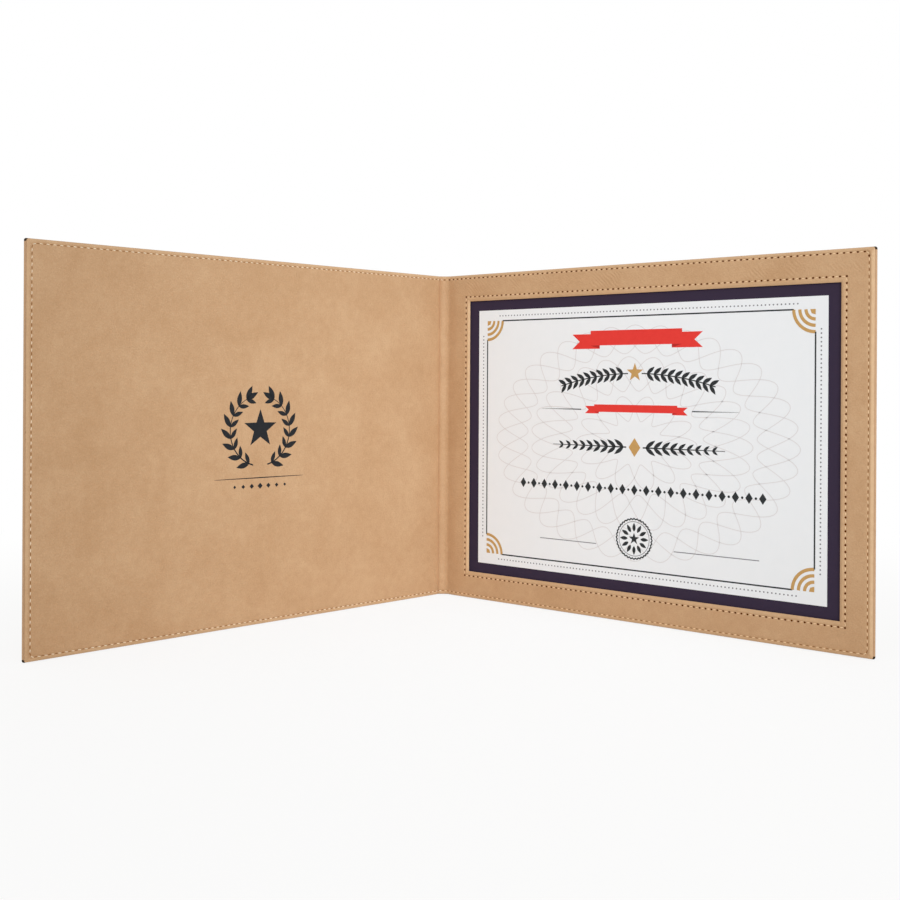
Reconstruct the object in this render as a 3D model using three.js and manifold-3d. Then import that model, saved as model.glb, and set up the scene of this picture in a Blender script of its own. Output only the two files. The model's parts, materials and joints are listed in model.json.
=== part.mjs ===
// Leatherette certificate holder that stands open like a book.
// Millimetres, +Z up. It stands on its tail edges and its inside faces -Y.
import * as THREE from 'three';
import { mergeVertices } from 'three/addons/utils/BufferGeometryUtils.js';
import Module from 'manifold-3d';

// Covers
const COVER_WIDTH = 304.8; // from the fold line to the fore edge
const COVER_HEIGHT = 228.6; // from tail to head
const CORNER_RADIUS = 1.2; // corners of the covers, seen square on
const OPEN_FOLD_ANGLE = 41.2; // degrees of bend at each fold line as it stands

// Sheets, each a thickness
const SKIN = 0.7; // outer leatherette
const BOARD = 1.2; // greyboard in the covers
const TURN_IN = 0.5; // outer leatherette pared thin where it is turned in
const LINING = 0.7; // inside leatherette
const HEM = 0.7; // inside leatherette folded under at the window and the edges
const SPINE_CARD = 0.6; // stiffener in the spine
const MOUNT_CARD = 0.4; // dark card behind the window
const PAPER = 0.2; // certificate
const TAPE = 0.1; // tape between certificate and card
const BOND = 0.25; // glue line between sheets

// Widths along the sheets
const TURN_IN_WIDTH = 6; // outer leatherette turned over the board
const FRAME_BORDER = 19.05; // from the window to the cover's edges
const HINGE_BORDER = 21.3; // from the window to the fold line
const WINDOW_HEM_WIDTH = 8; // leatherette folded under round the window
const EDGE_HEM_WIDTH = 6; // leatherette folded under along the frame's outer edges
const CARD_LAP = 7.475; // card hidden behind the frame at each end
const CARD_CLEARANCE = 0.35; // play of the card between the turned-in edges
const MARGIN_SIDE = 7.6; // card that shows left and right of the certificate
const MARGIN_HEAD = 7; // card that shows above and below the certificate
const MITRE_SLIT = 0.4; // open line where turned-in edges meet at a corner
const EDGE_ROUND = 0.5; // roundness of a folded leatherette edge

// Spine and grooves
const CLOSED_GAP = 0.8; // air between the two inside faces when it is shut
const FOLD_CLEARANCE = 0.4; // room for the spine between the covers when it is shut
const SPINE_SETBACK = 1.2; // from a fold line to the spine's own sheets
const STRIP_GAP = 0.3; // from a hinge strip to the sheets beside it
const STRIP_LIFT = 0.4; // hinge strips end this far short of head and tail
const GROOVE_WEB = 0.7; // lining at the bottom of a groove
const GROOVE_BEND = 0.7; // from a fold line to where the groove's bend begins

// Seams
const THREAD_WIDTH = 0.6;
const THREAD_HEIGHT = 0.4;
const THREAD_GAP = 0.2; // from a thread to the groove it lies in
const THREAD_SINK = 0.4; // depth of that groove
const THREAD_ROUND = 0.12;
const SEAM_FORE_INSET = 3.5; // edge seam to the fore edge
const SEAM_HEAD_INSET = 2.7; // edge seam to head and tail
const SEAM_CORNER = 2.5; // bend of the edge seam at its corners
const WINDOW_SEAM_OFFSET = 3.2; // window seam to the window
const WINDOW_SEAM_CORNER = 0.8; // bend of the window seam at its corners
const SEAM_START = 0.8; // edge seam's first stitch to the cover's hinge side

// Modelling values
const OVERRUN = 5; // cutters reach this far past what they cut
const ROUND_STEPS = 2; // facets across a rounded edge
const ARC_STEPS = 4; // facets round a corner
const WELD = 1e-4; // vertices closer than this are one

// Depths below the fold lines' plane, counted towards the inside
const board = { from: BOND, to: BOND + BOARD };
const turnIn = { from: board.to + BOND, to: board.to + BOND + TURN_IN };
const frontLining = { from: turnIn.to + BOND, to: turnIn.to + BOND + LINING };
const hem = { from: turnIn.to + BOND, to: turnIn.to + BOND + HEM };
const frame = { from: hem.to, to: hem.to + LINING };
const mountCard = { from: turnIn.from, to: turnIn.from + MOUNT_CARD };
const paper = { from: mountCard.to + TAPE, to: mountCard.to + TAPE + PAPER };
const spineCard = { from: BOND, to: BOND + SPINE_CARD };
const spineTurnIn = { from: spineCard.to + BOND, to: spineCard.to + BOND + TURN_IN };
const spineLining = { from: spineTurnIn.to + BOND, to: spineTurnIn.to + BOND + LINING };

// Places along the covers, from the fold line and from the tail
const SPINE_WIDTH = frontLining.to + frame.to + CLOSED_GAP; // between the two fold lines
const HINGE_SIDE = spineLining.to + FOLD_CLEARANCE; // where a cover's own sheets begin
const BOARD_SIDE = HINGE_SIDE + LINING + BOND; // where a cover's board begins
const foldAngle = THREE.MathUtils.degToRad(OPEN_FOLD_ANGLE);
const cover = { left: HINGE_SIDE, right: COVER_WIDTH, bottom: 0, top: COVER_HEIGHT };
const window = {
  left: HINGE_BORDER,
  right: COVER_WIDTH - FRAME_BORDER,
  bottom: FRAME_BORDER,
  top: COVER_HEIGHT - FRAME_BORDER,
};
const seam = {
  right: COVER_WIDTH - SEAM_FORE_INSET,
  bottom: SEAM_HEAD_INSET,
  top: COVER_HEIGHT - SEAM_HEAD_INSET,
};

const wasm = await Module();
wasm.setup();

const leatherette = new THREE.MeshStandardMaterial({ color: 0xc69e79, roughness: 0.6, metalness: 0 });
const greyboard = new THREE.MeshStandardMaterial({ color: 0x9a8d7c, roughness: 0.9, metalness: 0 });
const darkCard = new THREE.MeshStandardMaterial({ color: 0x372c3c, roughness: 0.8, metalness: 0 });
const whitePaper = new THREE.MeshStandardMaterial({ color: 0xe6e4e4, roughness: 0.8, metalness: 0 });
const thread = new THREE.MeshStandardMaterial({ color: 0xebcda5, roughness: 0.8, metalness: 0 });

// A closed mesh as a solid that can be joined and cut
function toSolid(geometry) {
  const bare = geometry.clone();
  bare.deleteAttribute('normal');
  bare.deleteAttribute('uv');
  const merged = mergeVertices(bare, WELD);
  const mesh = new wasm.Mesh({
    numProp: 3,
    vertProperties: new Float32Array(merged.attributes.position.array),
    triVerts: new Uint32Array(merged.index.array),
  });
  return new wasm.Manifold(mesh);
}

function toGeometry(solid) {
  const mesh = solid.getMesh();
  const geometry = new THREE.BufferGeometry();
  geometry.setAttribute('position', new THREE.BufferAttribute(new Float32Array(mesh.vertProperties), 3));
  geometry.setIndex(new THREE.BufferAttribute(new Uint32Array(mesh.triVerts), 1));
  geometry.computeVertexNormals();
  return geometry;
}

// A rectangle grown or shrunk by the same distance on every side
function grown(box, by) {
  return { left: box.left - by, right: box.right + by, bottom: box.bottom - by, top: box.top + by };
}

// Draws a rectangle, with round corners where a radius is given, on a shape or a hole
function drawRectangle(path, box, radius = 0) {
  if (radius <= 0) {
    path.moveTo(box.left, box.bottom);
    path.lineTo(box.right, box.bottom);
    path.lineTo(box.right, box.top);
    path.lineTo(box.left, box.top);
    path.closePath();
    return path;
  }
  const quarter = Math.PI / 2;
  path.moveTo(box.left + radius, box.bottom);
  path.absarc(box.right - radius, box.bottom + radius, radius, -quarter, 0);
  path.absarc(box.right - radius, box.top - radius, radius, 0, quarter);
  path.absarc(box.left + radius, box.top - radius, radius, quarter, 2 * quarter);
  path.absarc(box.left + radius, box.bottom + radius, radius, 2 * quarter, 3 * quarter);
  path.closePath();
  return path;
}

function rectangle(box, radius = 0) {
  return drawRectangle(new THREE.Shape(), box, radius);
}

function ring(outer, inner, outerRadius = 0, innerRadius = 0) {
  const shape = rectangle(outer, outerRadius);
  shape.holes.push(drawRectangle(new THREE.Path(), inner, innerRadius));
  return shape;
}

// A flat sheet from one depth to another, with its edges rounded on both faces
function sheet(shape, depth, round = 0) {
  const geometry = new THREE.ExtrudeGeometry(shape, {
    depth: depth.to - depth.from - 2 * round,
    curveSegments: ARC_STEPS,
    bevelEnabled: round > 0,
    bevelThickness: round,
    bevelSize: round,
    bevelOffset: -round,
    bevelSegments: ROUND_STEPS,
  });
  return geometry.translate(0, 0, depth.from + round);
}

// The U of an edge seam round the tail, fore edge and head of a cover
function edgeSeam(width) {
  const half = width / 2;
  const start = HINGE_SIDE + SEAM_START - (width - THREAD_WIDTH) / 2;
  const quarter = Math.PI / 2;
  const centre = seam.right - SEAM_CORNER;
  const low = seam.bottom + SEAM_CORNER;
  const high = seam.top - SEAM_CORNER;
  const shape = new THREE.Shape();
  shape.moveTo(start, seam.bottom - half);
  shape.lineTo(centre, seam.bottom - half);
  shape.absarc(centre, low, SEAM_CORNER + half, -quarter, 0);
  shape.absarc(centre, high, SEAM_CORNER + half, 0, quarter);
  shape.lineTo(start, seam.top + half);
  shape.lineTo(start, seam.top - half);
  shape.absarc(centre, high, SEAM_CORNER - half, quarter, 0, true);
  shape.absarc(centre, low, SEAM_CORNER - half, 0, -quarter, true);
  shape.lineTo(start, seam.bottom + half);
  shape.closePath();
  return shape;
}

function windowSeam(width) {
  const line = grown(window, WINDOW_SEAM_OFFSET);
  const half = width / 2;
  return ring(
    grown(line, half),
    grown(line, -half),
    WINDOW_SEAM_CORNER + half,
    WINDOW_SEAM_CORNER - half,
  );
}

// Depths of a thread and of its groove. The face looks inwards (1) or outwards (-1).
function threadDepths(face, looks) {
  const floor = face - looks * THREAD_SINK;
  const near = floor + looks * THREAD_GAP;
  const far = near + looks * THREAD_HEIGHT;
  const mouth = face + looks * OVERRUN;
  return {
    cord: { from: Math.min(near, far), to: Math.max(near, far) },
    groove: { from: Math.min(floor, mouth), to: Math.max(floor, mouth) },
  };
}

function threadCord(seamShape, face, looks) {
  return sheet(seamShape(THREAD_WIDTH), threadDepths(face, looks).cord, THREAD_ROUND);
}

function threadGroove(seamShape, face, looks) {
  const shape = seamShape(THREAD_WIDTH + 2 * THREAD_GAP);
  return toSolid(sheet(shape, threadDepths(face, looks).groove));
}

// A cutting block over a rectangle
function block(box, depth) {
  return toSolid(sheet(rectangle(box), depth));
}

// Leatherette wrapped round three edges of a cover's board and turned in, mitred at the fore corners
function coverSkin() {
  const past = { left: cover.left - OVERRUN };
  const wrapped = toSolid(sheet(
    rectangle({ ...cover, ...past }, CORNER_RADIUS),
    { from: -SKIN, to: turnIn.to },
    EDGE_ROUND,
  ));
  const beyondFold = block(
    { ...grown(cover, OVERRUN), right: HINGE_SIDE },
    { from: -SKIN - OVERRUN, to: turnIn.to + OVERRUN },
  );
  const besideBoard = block(
    { ...grown(cover, OVERRUN), right: BOARD_SIDE },
    { from: 0, to: turnIn.to + OVERRUN },
  );
  const boardSpace = block({ ...grown(cover, -SKIN), ...past }, { from: 0, to: turnIn.from });
  const opening = block(
    { ...grown(cover, -TURN_IN_WIDTH), ...past },
    { from: board.to, to: turnIn.to + OVERRUN },
  );
  return wrapped
    .subtract(beyondFold)
    .subtract(besideBoard)
    .subtract(boardSpace)
    .subtract(opening)
    .subtract(mitreSlit(cover.bottom, 1))
    .subtract(mitreSlit(cover.top, -1))
    .subtract(threadGroove(edgeSeam, -SKIN, -1));
}

// The open mitre line at a fore corner, from the turned-in edge to the wrapped edge
function mitreSlit(edge, inwards) {
  const reach = (TURN_IN_WIDTH - SKIN) * Math.SQRT2 + MITRE_SLIT;
  const slit = new THREE.BoxGeometry(reach, MITRE_SLIT, TURN_IN + BOND);
  const middle = (TURN_IN_WIDTH + SKIN) / 2;
  slit.rotateZ(-inwards * Math.PI / 4);
  slit.translate(
    cover.right - middle,
    edge + inwards * middle,
    turnIn.to - TURN_IN / 2 + BOND / 4,
  );
  return toSolid(slit);
}

function coverBoard() {
  return sheet(rectangle({ ...grown(cover, -SKIN - BOND), left: BOARD_SIDE }), board);
}

// Sheet that fills the space between the turned-in edges
function filler() {
  const box = { ...grown(cover, -TURN_IN_WIDTH - CARD_CLEARANCE), left: BOARD_SIDE };
  return sheet(rectangle(box), turnIn);
}

// The space under the inside leatherette, which is rolled down into the groove at the hinge side
function underLining(depth) {
  return block({ ...grown(cover, OVERRUN), left: HINGE_SIDE + LINING }, { from: -OVERRUN, to: depth });
}

function lining() {
  const rolled = toSolid(sheet(
    rectangle(cover, CORNER_RADIUS),
    { from: BOND, to: frontLining.to },
    EDGE_ROUND,
  ));
  return rolled
    .subtract(underLining(frontLining.from))
    .subtract(threadGroove(edgeSeam, frontLining.to, 1));
}

// Inside leatherette with a window, double where its edges are folded under
function windowFrame() {
  const folded = toSolid(sheet(
    ring(cover, window, CORNER_RADIUS),
    { from: BOND, to: frame.to },
    EDGE_ROUND,
  ));
  const betweenHems = toSolid(sheet(
    ring(
      { ...grown(cover, -EDGE_HEM_WIDTH), left: HINGE_SIDE + LINING },
      grown(window, WINDOW_HEM_WIDTH),
    ),
    { from: -OVERRUN, to: hem.to },
  ));
  return folded
    .subtract(underLining(hem.from))
    .subtract(betweenHems)
    .subtract(threadGroove(edgeSeam, frame.to, 1))
    .subtract(threadGroove(windowSeam, frame.to, 1))
    .subtract(threadGroove(windowSeam, hem.from, -1));
}

function cardSheet() {
  const box = {
    left: window.left - CARD_LAP,
    right: window.right + CARD_LAP,
    bottom: TURN_IN_WIDTH + CARD_CLEARANCE,
    top: COVER_HEIGHT - TURN_IN_WIDTH - CARD_CLEARANCE,
  };
  return sheet(rectangle(box), mountCard);
}

function paperSheet() {
  const box = {
    left: window.left + MARGIN_SIDE,
    right: window.right - MARGIN_SIDE,
    bottom: window.bottom + MARGIN_HEAD,
    top: window.top - MARGIN_HEAD,
  };
  return sheet(rectangle(box), paper);
}

// The spine's own sheets lie between the grooves, on the far side of the back fold line
const spine = {
  left: SPINE_SETBACK - SPINE_WIDTH,
  right: -SPINE_SETBACK,
  bottom: 0,
  top: COVER_HEIGHT,
};

// What the spine's lining is rolled round, short of head and tail by the same distance
function spineCore(short) {
  const side = LINING + BOND;
  return {
    left: spine.left + side,
    right: spine.right - side,
    bottom: short,
    top: COVER_HEIGHT - short,
  };
}

// Leatherette over the spine, turned in over its stiffener at head and tail
function spineSkin() {
  const face = block(spine, { from: -SKIN, to: 0 });
  const wrapped = block(spineCore(0), { from: -SKIN, to: spineTurnIn.to });
  const past = { left: spine.left, right: spine.right };
  const cardSpace = block({ ...spineCore(SKIN), ...past }, { from: 0, to: spineTurnIn.from });
  const opening = block(
    { ...spineCore(TURN_IN_WIDTH), ...past },
    { from: spineCard.to, to: spineTurnIn.to + OVERRUN },
  );
  return wrapped.subtract(cardSpace).subtract(opening).add(face);
}

// Inside leatherette over the spine, rolled down into the groove on both sides
function spineLiningSheet() {
  const rolled = toSolid(sheet(rectangle(spine), { from: BOND, to: spineLining.to }, EDGE_ROUND));
  const under = block(
    { ...grown(spine, OVERRUN), left: spine.left + LINING, right: spine.right - LINING },
    { from: -OVERRUN, to: spineLining.from },
  );
  return rolled.subtract(under);
}

// Cross section of a pressed groove as it stands, between the spine on one side and a cover on the
// other. The fold line is at zero, x runs to the cover and y points outwards.
function grooveSection() {
  const along = new THREE.Vector2(Math.cos(foldAngle), -Math.sin(foldAngle));
  const inwards = new THREE.Vector2(-Math.sin(foldAngle), -Math.cos(foldAngle));
  const onCover = (reach, depth) =>
    along.clone().multiplyScalar(reach).addScaledVector(inwards, depth);
  const onSpine = (reach, depth) => new THREE.Vector2(-reach, -depth);
  const coverReach = HINGE_SIDE - STRIP_GAP;
  const spineReach = SPINE_SETBACK - STRIP_GAP;
  const corner = onCover(0, 1).add(onSpine(0, 1)).setLength(GROOVE_WEB / Math.cos(foldAngle / 2));
  const shape = new THREE.Shape();
  shape.moveTo(...onSpine(spineReach, -SKIN));
  shape.lineTo(...onSpine(spineReach, GROOVE_WEB));
  shape.lineTo(...onSpine(GROOVE_BEND, GROOVE_WEB));
  shape.quadraticCurveTo(...corner, ...onCover(GROOVE_BEND, GROOVE_WEB));
  shape.lineTo(...onCover(coverReach, GROOVE_WEB));
  shape.lineTo(...onCover(coverReach, -SKIN));
  shape.absarc(0, 0, SKIN, Math.PI / 2 - foldAngle, Math.PI / 2);
  shape.closePath();
  return shape;
}

function hingeStrip() {
  const strip = new THREE.ExtrudeGeometry(grooveSection(), {
    depth: COVER_HEIGHT - 2 * STRIP_LIFT,
    curveSegments: ARC_STEPS,
    bevelEnabled: false,
  });
  strip.rotateX(-Math.PI / 2);
  return strip.translate(0, STRIP_LIFT, 0);
}

function piece(name, shape, material) {
  const geometry = shape.isBufferGeometry ? shape : toGeometry(shape);
  const mesh = new THREE.Mesh(geometry, material);
  mesh.name = name;
  return mesh;
}

// Back cover, with the window
const backCover = new THREE.Group();
backCover.add(
  piece('back_board', coverBoard(), greyboard),
  piece('back_outer_skin', coverSkin(), leatherette),
  piece('mount_card', cardSheet(), darkCard),
  piece('certificate', paperSheet(), whitePaper),
  piece('window_frame', windowFrame(), leatherette),
  piece('window_stitching', threadCord(windowSeam, frame.to, 1), thread),
  piece('window_bobbin_thread', threadCord(windowSeam, hem.from, -1), thread),
  piece('back_edge_stitching', threadCord(edgeSeam, frame.to, 1), thread),
  piece('back_bobbin_thread', threadCord(edgeSeam, -SKIN, -1), thread),
);

// Front cover, the same board and skin turned half round on its face
const frontCover = new THREE.Group();
frontCover.add(
  piece('front_board', coverBoard(), greyboard),
  piece('front_filler', filler(), greyboard),
  piece('front_outer_skin', coverSkin(), leatherette),
  piece('front_lining', lining(), leatherette),
  piece('front_edge_stitching', threadCord(edgeSeam, frontLining.to, 1), thread),
  piece('front_bobbin_thread', threadCord(edgeSeam, -SKIN, -1), thread),
);
frontCover.rotation.z = Math.PI;
frontCover.position.y = COVER_HEIGHT;

const frontFold = new THREE.Group();
frontFold.position.x = -SPINE_WIDTH;
frontFold.rotation.y = foldAngle;
frontFold.add(frontCover);

// The front groove is the back groove turned half round
const frontStrip = piece('front_hinge_strip', hingeStrip(), leatherette);
frontStrip.rotation.z = Math.PI;
frontStrip.position.set(-SPINE_WIDTH, COVER_HEIGHT, 0);

// Spine, bent from the back cover's fold line, and the front cover bent from the spine
const backFold = new THREE.Group();
backFold.rotation.y = foldAngle;
backFold.add(
  piece('spine_card', sheet(rectangle(spineCore(SKIN + BOND)), spineCard), greyboard),
  piece('spine_outer_skin', spineSkin(), leatherette),
  piece('spine_lining', spineLiningSheet(), leatherette),
  piece('back_hinge_strip', hingeStrip(), leatherette),
  frontStrip,
  frontFold,
);

// The covers are drawn lying down, with depth upwards, and stood up here
const standing = new THREE.Group();
standing.rotation.x = Math.PI / 2;
standing.add(backCover, backFold);

// The origin is the middle of the holder's footprint
const holder = new THREE.Group();
holder.add(standing);
const extent = new THREE.Box3().setFromObject(holder, true);
const middle = extent.getCenter(new THREE.Vector3());
standing.position.set(-middle.x, -middle.y, -extent.min.z);

export default holder;
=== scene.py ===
# %% [markdown]
# # A leatherette certificate holder
# The holder is made like a book case: two boards and a narrow spine between an outer and an inner
# sheet of leatherette, sewn together round the edge. One half has a window with a mounted
# certificate behind it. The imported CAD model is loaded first, because every piece here is made
# around it and moves with its bodies.

# %% The fixed frame
import json
import math

import bmesh
import bpy
import numpy as np
from mathutils import Matrix, Vector


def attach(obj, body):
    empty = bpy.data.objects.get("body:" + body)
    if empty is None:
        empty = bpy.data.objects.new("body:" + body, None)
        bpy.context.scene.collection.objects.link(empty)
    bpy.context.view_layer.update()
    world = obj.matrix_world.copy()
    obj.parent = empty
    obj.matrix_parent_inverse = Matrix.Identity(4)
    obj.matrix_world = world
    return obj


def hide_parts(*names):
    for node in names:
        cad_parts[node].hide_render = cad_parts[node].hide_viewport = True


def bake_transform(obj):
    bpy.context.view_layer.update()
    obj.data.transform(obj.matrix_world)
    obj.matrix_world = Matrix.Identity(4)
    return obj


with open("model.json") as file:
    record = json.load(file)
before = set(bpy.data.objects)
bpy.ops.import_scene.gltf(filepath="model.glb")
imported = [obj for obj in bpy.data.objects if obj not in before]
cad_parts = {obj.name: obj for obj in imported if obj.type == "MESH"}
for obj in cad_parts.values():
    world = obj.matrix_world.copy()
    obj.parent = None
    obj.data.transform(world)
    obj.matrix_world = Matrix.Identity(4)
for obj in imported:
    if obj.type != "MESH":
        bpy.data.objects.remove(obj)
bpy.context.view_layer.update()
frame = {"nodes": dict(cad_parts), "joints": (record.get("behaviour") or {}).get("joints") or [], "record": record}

MM = 0.001
scene = bpy.context.scene
scene.view_settings.view_transform = "Standard"

# %% [markdown]
# ## Camera
# The photograph was taken with a level camera: upright edges stay upright, and the frame is shifted
# down so that the horizon lies above its middle. A camera could be set by eye, but then no edge would
# lie quite where it should. So place, turn and focal length come from a fit to the outline, the window
# and the sheet.

# %% Camera
IMAGE = 900  # pixels along each side of the photograph
CAMERA_AT = (391.26, -488.51, 151.32)  # mm
CAMERA_YAW = math.radians(38.99)
CAMERA_ROLL = math.radians(0.302)
FOCAL_PIXELS = 1146.55
HORIZON_PIXEL = 383.78
SENSOR = 36  # mm

camera = bpy.data.objects.new("camera", bpy.data.cameras.new("camera"))
scene.collection.objects.link(camera)
camera.data.sensor_width = SENSOR
camera.data.lens = FOCAL_PIXELS / IMAGE * SENSOR
camera.data.shift_y = (HORIZON_PIXEL - IMAGE / 2) / IMAGE
level = Matrix.Rotation(math.pi / 2, 4, "X")
turn = Matrix.Rotation(CAMERA_YAW, 4, "Z") @ level @ Matrix.Rotation(CAMERA_ROLL, 4, "Z")
camera.matrix_world = Matrix.Translation(Vector(CAMERA_AT) * MM) @ turn
scene.camera = camera
print("lens in mm:", round(camera.data.lens, 2), "shift:", round(camera.data.shift_y, 4))

# %% [markdown]
# ## Small helpers for materials
# Colours are picked on a screen, so they are written as sRGB hex values and turned to linear light
# once, here. One function adds any node, with its settings and what is linked to it, which keeps each
# material short to read.

# %% Helpers for materials
def linear(hex_colour):
    channels = [int(hex_colour[i:i + 2], 16) / 255 for i in (1, 3, 5)]
    return [c / 12.92 if c <= 0.04045 else ((c + 0.055) / 1.055) ** 2.4 for c in channels] + [1.0]


def add_node(tree, kind, inputs=None, **settings):
    node = tree.nodes.new(kind)
    for name, value in settings.items():
        setattr(node, name, value)
    for socket, value in (inputs or {}).items():
        if isinstance(value, bpy.types.NodeSocket):
            tree.links.new(value, node.inputs[socket])
        else:
            node.inputs[socket].default_value = value
    return node


def empty_material(name):
    material = bpy.data.materials.new(name)
    material.use_nodes = True
    material.node_tree.nodes.clear()
    return material, material.node_tree


def per_metre(size_mm):
    """A texture scale at which one cell of the pattern is this many millimetres wide."""
    return 1 / (size_mm * MM)


print("leatherette tan in linear light:", [round(c, 3) for c in linear("#C79F77")[:3]])

# %% [markdown]
# ## Floor and light
# A product photograph is taken on white. A plain white world alone would leave the holder without a
# shadow to stand in. So the floor is a pale diffuse sheet that takes the shadow, and it fades to plain
# white further out, so that no horizon shows.

# %% Floor
FLOOR_RADIUS = 6.0  # metres
FLOOR_DROP = 0.1  # mm below the tail edges
SHADOW_NEAR, SHADOW_FAR = 0.2, 0.7  # metres from the middle over which the floor turns to plain white
NEAR_WHITE = 0.85  # share of plain white under the holder

floor_mesh = bmesh.new()
bmesh.ops.create_circle(floor_mesh, cap_ends=True, segments=96, radius=FLOOR_RADIUS)
floor_data = bpy.data.meshes.new("floor")
floor_mesh.to_mesh(floor_data)
floor_mesh.free()
floor = bpy.data.objects.new("floor", floor_data)
floor.location.z = -FLOOR_DROP * MM
scene.collection.objects.link(floor)

paper_floor, tree = empty_material("pale studio paper")
place = add_node(tree, "ShaderNodeTexCoord")
reach = add_node(tree, "ShaderNodeVectorMath", {0: place.outputs["Object"]}, operation="LENGTH")
fade = add_node(tree, "ShaderNodeMapRange", {
    "Value": reach.outputs["Value"], "From Min": SHADOW_NEAR, "From Max": SHADOW_FAR,
    "To Min": NEAR_WHITE, "To Max": 1.0}, interpolation_type="SMOOTHSTEP")
path = add_node(tree, "ShaderNodeLightPath")
white_share = add_node(tree, "ShaderNodeMath", {
    0: fade.outputs[0], 1: path.outputs["Is Camera Ray"]}, operation="MULTIPLY")
paper = add_node(tree, "ShaderNodeBsdfDiffuse", {"Color": linear("#FAFAF9")})
white = add_node(tree, "ShaderNodeEmission", {"Color": (1, 1, 1, 1), "Strength": 1.0})
mixed = add_node(tree, "ShaderNodeMixShader", {
    0: white_share.outputs[0], 1: paper.outputs[0], 2: white.outputs[0]})
add_node(tree, "ShaderNodeOutputMaterial", {"Surface": mixed.outputs[0]})
floor_data.materials.append(paper_floor)
print("floor:", FLOOR_RADIUS, "m, plain white from", SHADOW_FAR, "m out")

# %% [markdown]
# A white studio lights a thing evenly from all round, and a background colour in the world does the
# same. A soft box with a grid stands to the right in front. It falls full on the left cover near the
# fold, and at a slant on the right cover, where it brightens each folded edge that faces it. It is a
# little cooler than the even light.

# %% Even light
SKY_LIGHT = 0.69

scene.world = bpy.data.worlds.new("studio")
scene.world.use_nodes = True
tree = scene.world.node_tree
tree.nodes.clear()
path = add_node(tree, "ShaderNodeLightPath")
seen = add_node(tree, "ShaderNodeMath", {
    0: path.outputs["Is Camera Ray"], 1: path.outputs["Is Glossy Ray"]}, operation="MAXIMUM")
seen = add_node(tree, "ShaderNodeMath", {
    0: seen.outputs[0], 1: path.outputs["Is Transmission Ray"]}, operation="MAXIMUM")
even = add_node(tree, "ShaderNodeBackground", {"Color": linear("#FFFDFA"), "Strength": SKY_LIGHT})
plain = add_node(tree, "ShaderNodeBackground", {"Color": (1, 1, 1, 1), "Strength": 1.0})
mixed = add_node(tree, "ShaderNodeMixShader", {0: seen.outputs[0], 1: even.outputs[0], 2: plain.outputs[0]})
add_node(tree, "ShaderNodeOutputWorld", {"Surface": mixed.outputs[0]})
print("even light:", SKY_LIGHT)

# %% Soft box
KEY_AT, KEY_AIM = Vector((0.96, -0.56, 0.51)), Vector((-0.13, 0.15, 0.115))  # metres
KEY_SIZE, KEY_SPREAD, KEY_WATTS = 0.45, math.radians(30.5), 0.47

lamp = bpy.data.lights.new("soft box", "AREA")
lamp.size, lamp.spread, lamp.energy = KEY_SIZE, KEY_SPREAD, KEY_WATTS
lamp.color = linear("#F1F7FF")[:3]
key = bpy.data.objects.new("soft box", lamp)
key.location = KEY_AT
key.rotation_euler = (KEY_AIM - KEY_AT).to_track_quat("-Z", "Y").to_euler()
scene.collection.objects.link(key)
print("soft box:", round((KEY_AIM - KEY_AT).length, 2), "m away")

# %% [markdown]
# ## Leatherette
# Leatherette is a woven or felted backing with a coat of polyurethane, pressed between rollers to give
# it a fine grain, and then wiped with a darker tone. To the eye that is a matte tan with soft clouds a
# few centimetres wide, a faint pebble and a low sheen.
# Where it was drawn round a narrow border by hand it has fine slanted creases, and the wiped tone
# stays in them. They could be modelled, but they are only some hundredths of a millimetre deep. So a
# wave texture gives slanted bands, its distortion bends them, and a noise leaves them in patches.
# Which part of a sheet is creased is written on its mesh, as an attribute named creased.

# %% Creases of the leatherette
CREASE, CREASE_PATCH = 2.0, 13  # mm between creases, and the size of the patches they come in
DIAGONAL_WAVE = 2 * math.pi / 10 / math.sqrt(2)  # scale of slanted bands that lie one unit apart
PATCH_FROM, PATCH_FULL = 0.47, 0.63  # noise between which a patch comes in


def slanted_creases(tree, place):
    """Height of the creases, half a unit up and down."""
    wave = add_node(tree, "ShaderNodeTexWave", {
        "Vector": place, "Scale": DIAGONAL_WAVE * per_metre(CREASE), "Distortion": 7.0, "Detail": 2.0,
        "Detail Scale": 0.5}, bands_direction="DIAGONAL")
    patch = add_node(tree, "ShaderNodeTexNoise", {
        "Vector": place, "Scale": per_metre(CREASE_PATCH), "Detail": 1.0})
    pulled = add_node(tree, "ShaderNodeAttribute", attribute_name="creased")
    here = add_node(tree, "ShaderNodeMapRange", {
        "Value": patch.outputs["Fac"], "From Min": PATCH_FROM, "From Max": PATCH_FULL,
        "To Max": pulled.outputs["Fac"]})
    ridge = add_node(tree, "ShaderNodeMath", {0: wave.outputs["Fac"], 1: 0.5}, operation="SUBTRACT")
    crease = add_node(tree, "ShaderNodeMath", {
        0: ridge.outputs[0], 1: here.outputs[0]}, operation="MULTIPLY")
    return crease.outputs[0]


print("creases:", CREASE, "mm apart in patches of", CREASE_PATCH, "mm")

# %% [markdown]
# Three noises make the tone: clouds, flecks and pores. The pebble is a cell pattern. On the real sheet
# it is about 0.5 mm wide; here it is drawn at 1.2 mm so that it shows at all.
# Along folded edges the tone is paler: a little on every fold, as wear, and much more on the frame's
# fore edge and its hem by the spine, which is painted highlight where the soft box catches those folds.
# How much is written on the mesh too, as an attribute named worn_and_highlit, because only the sheet knows its
# edges.

# %% Leatherette
CLOUD, FLECK, PEBBLE, PORE = 34, 5, 1.2, 0.8  # mm
FLECK_SHARE, PORE_SHARE = 0.38, 0.36  # of the flecks in clouds and flecks, and of the pores in the whole
TONE_SPREAD = 0.125  # noise on each side of the middle tone at which the dark and light tones lie
EVEN_PALE_EDGE = 0.6  # share of the paler edge, wear and painted highlight alike, that is even, the rest is in flecks
GRAIN_HEIGHT, GRAIN_PORES = 0.35, 0.4  # mm, and the share of the pores in it
CREASE_TONE, CREASE_GRAIN = 0.19, 0.27  # what the creases add to the tone and to the grain


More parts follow.
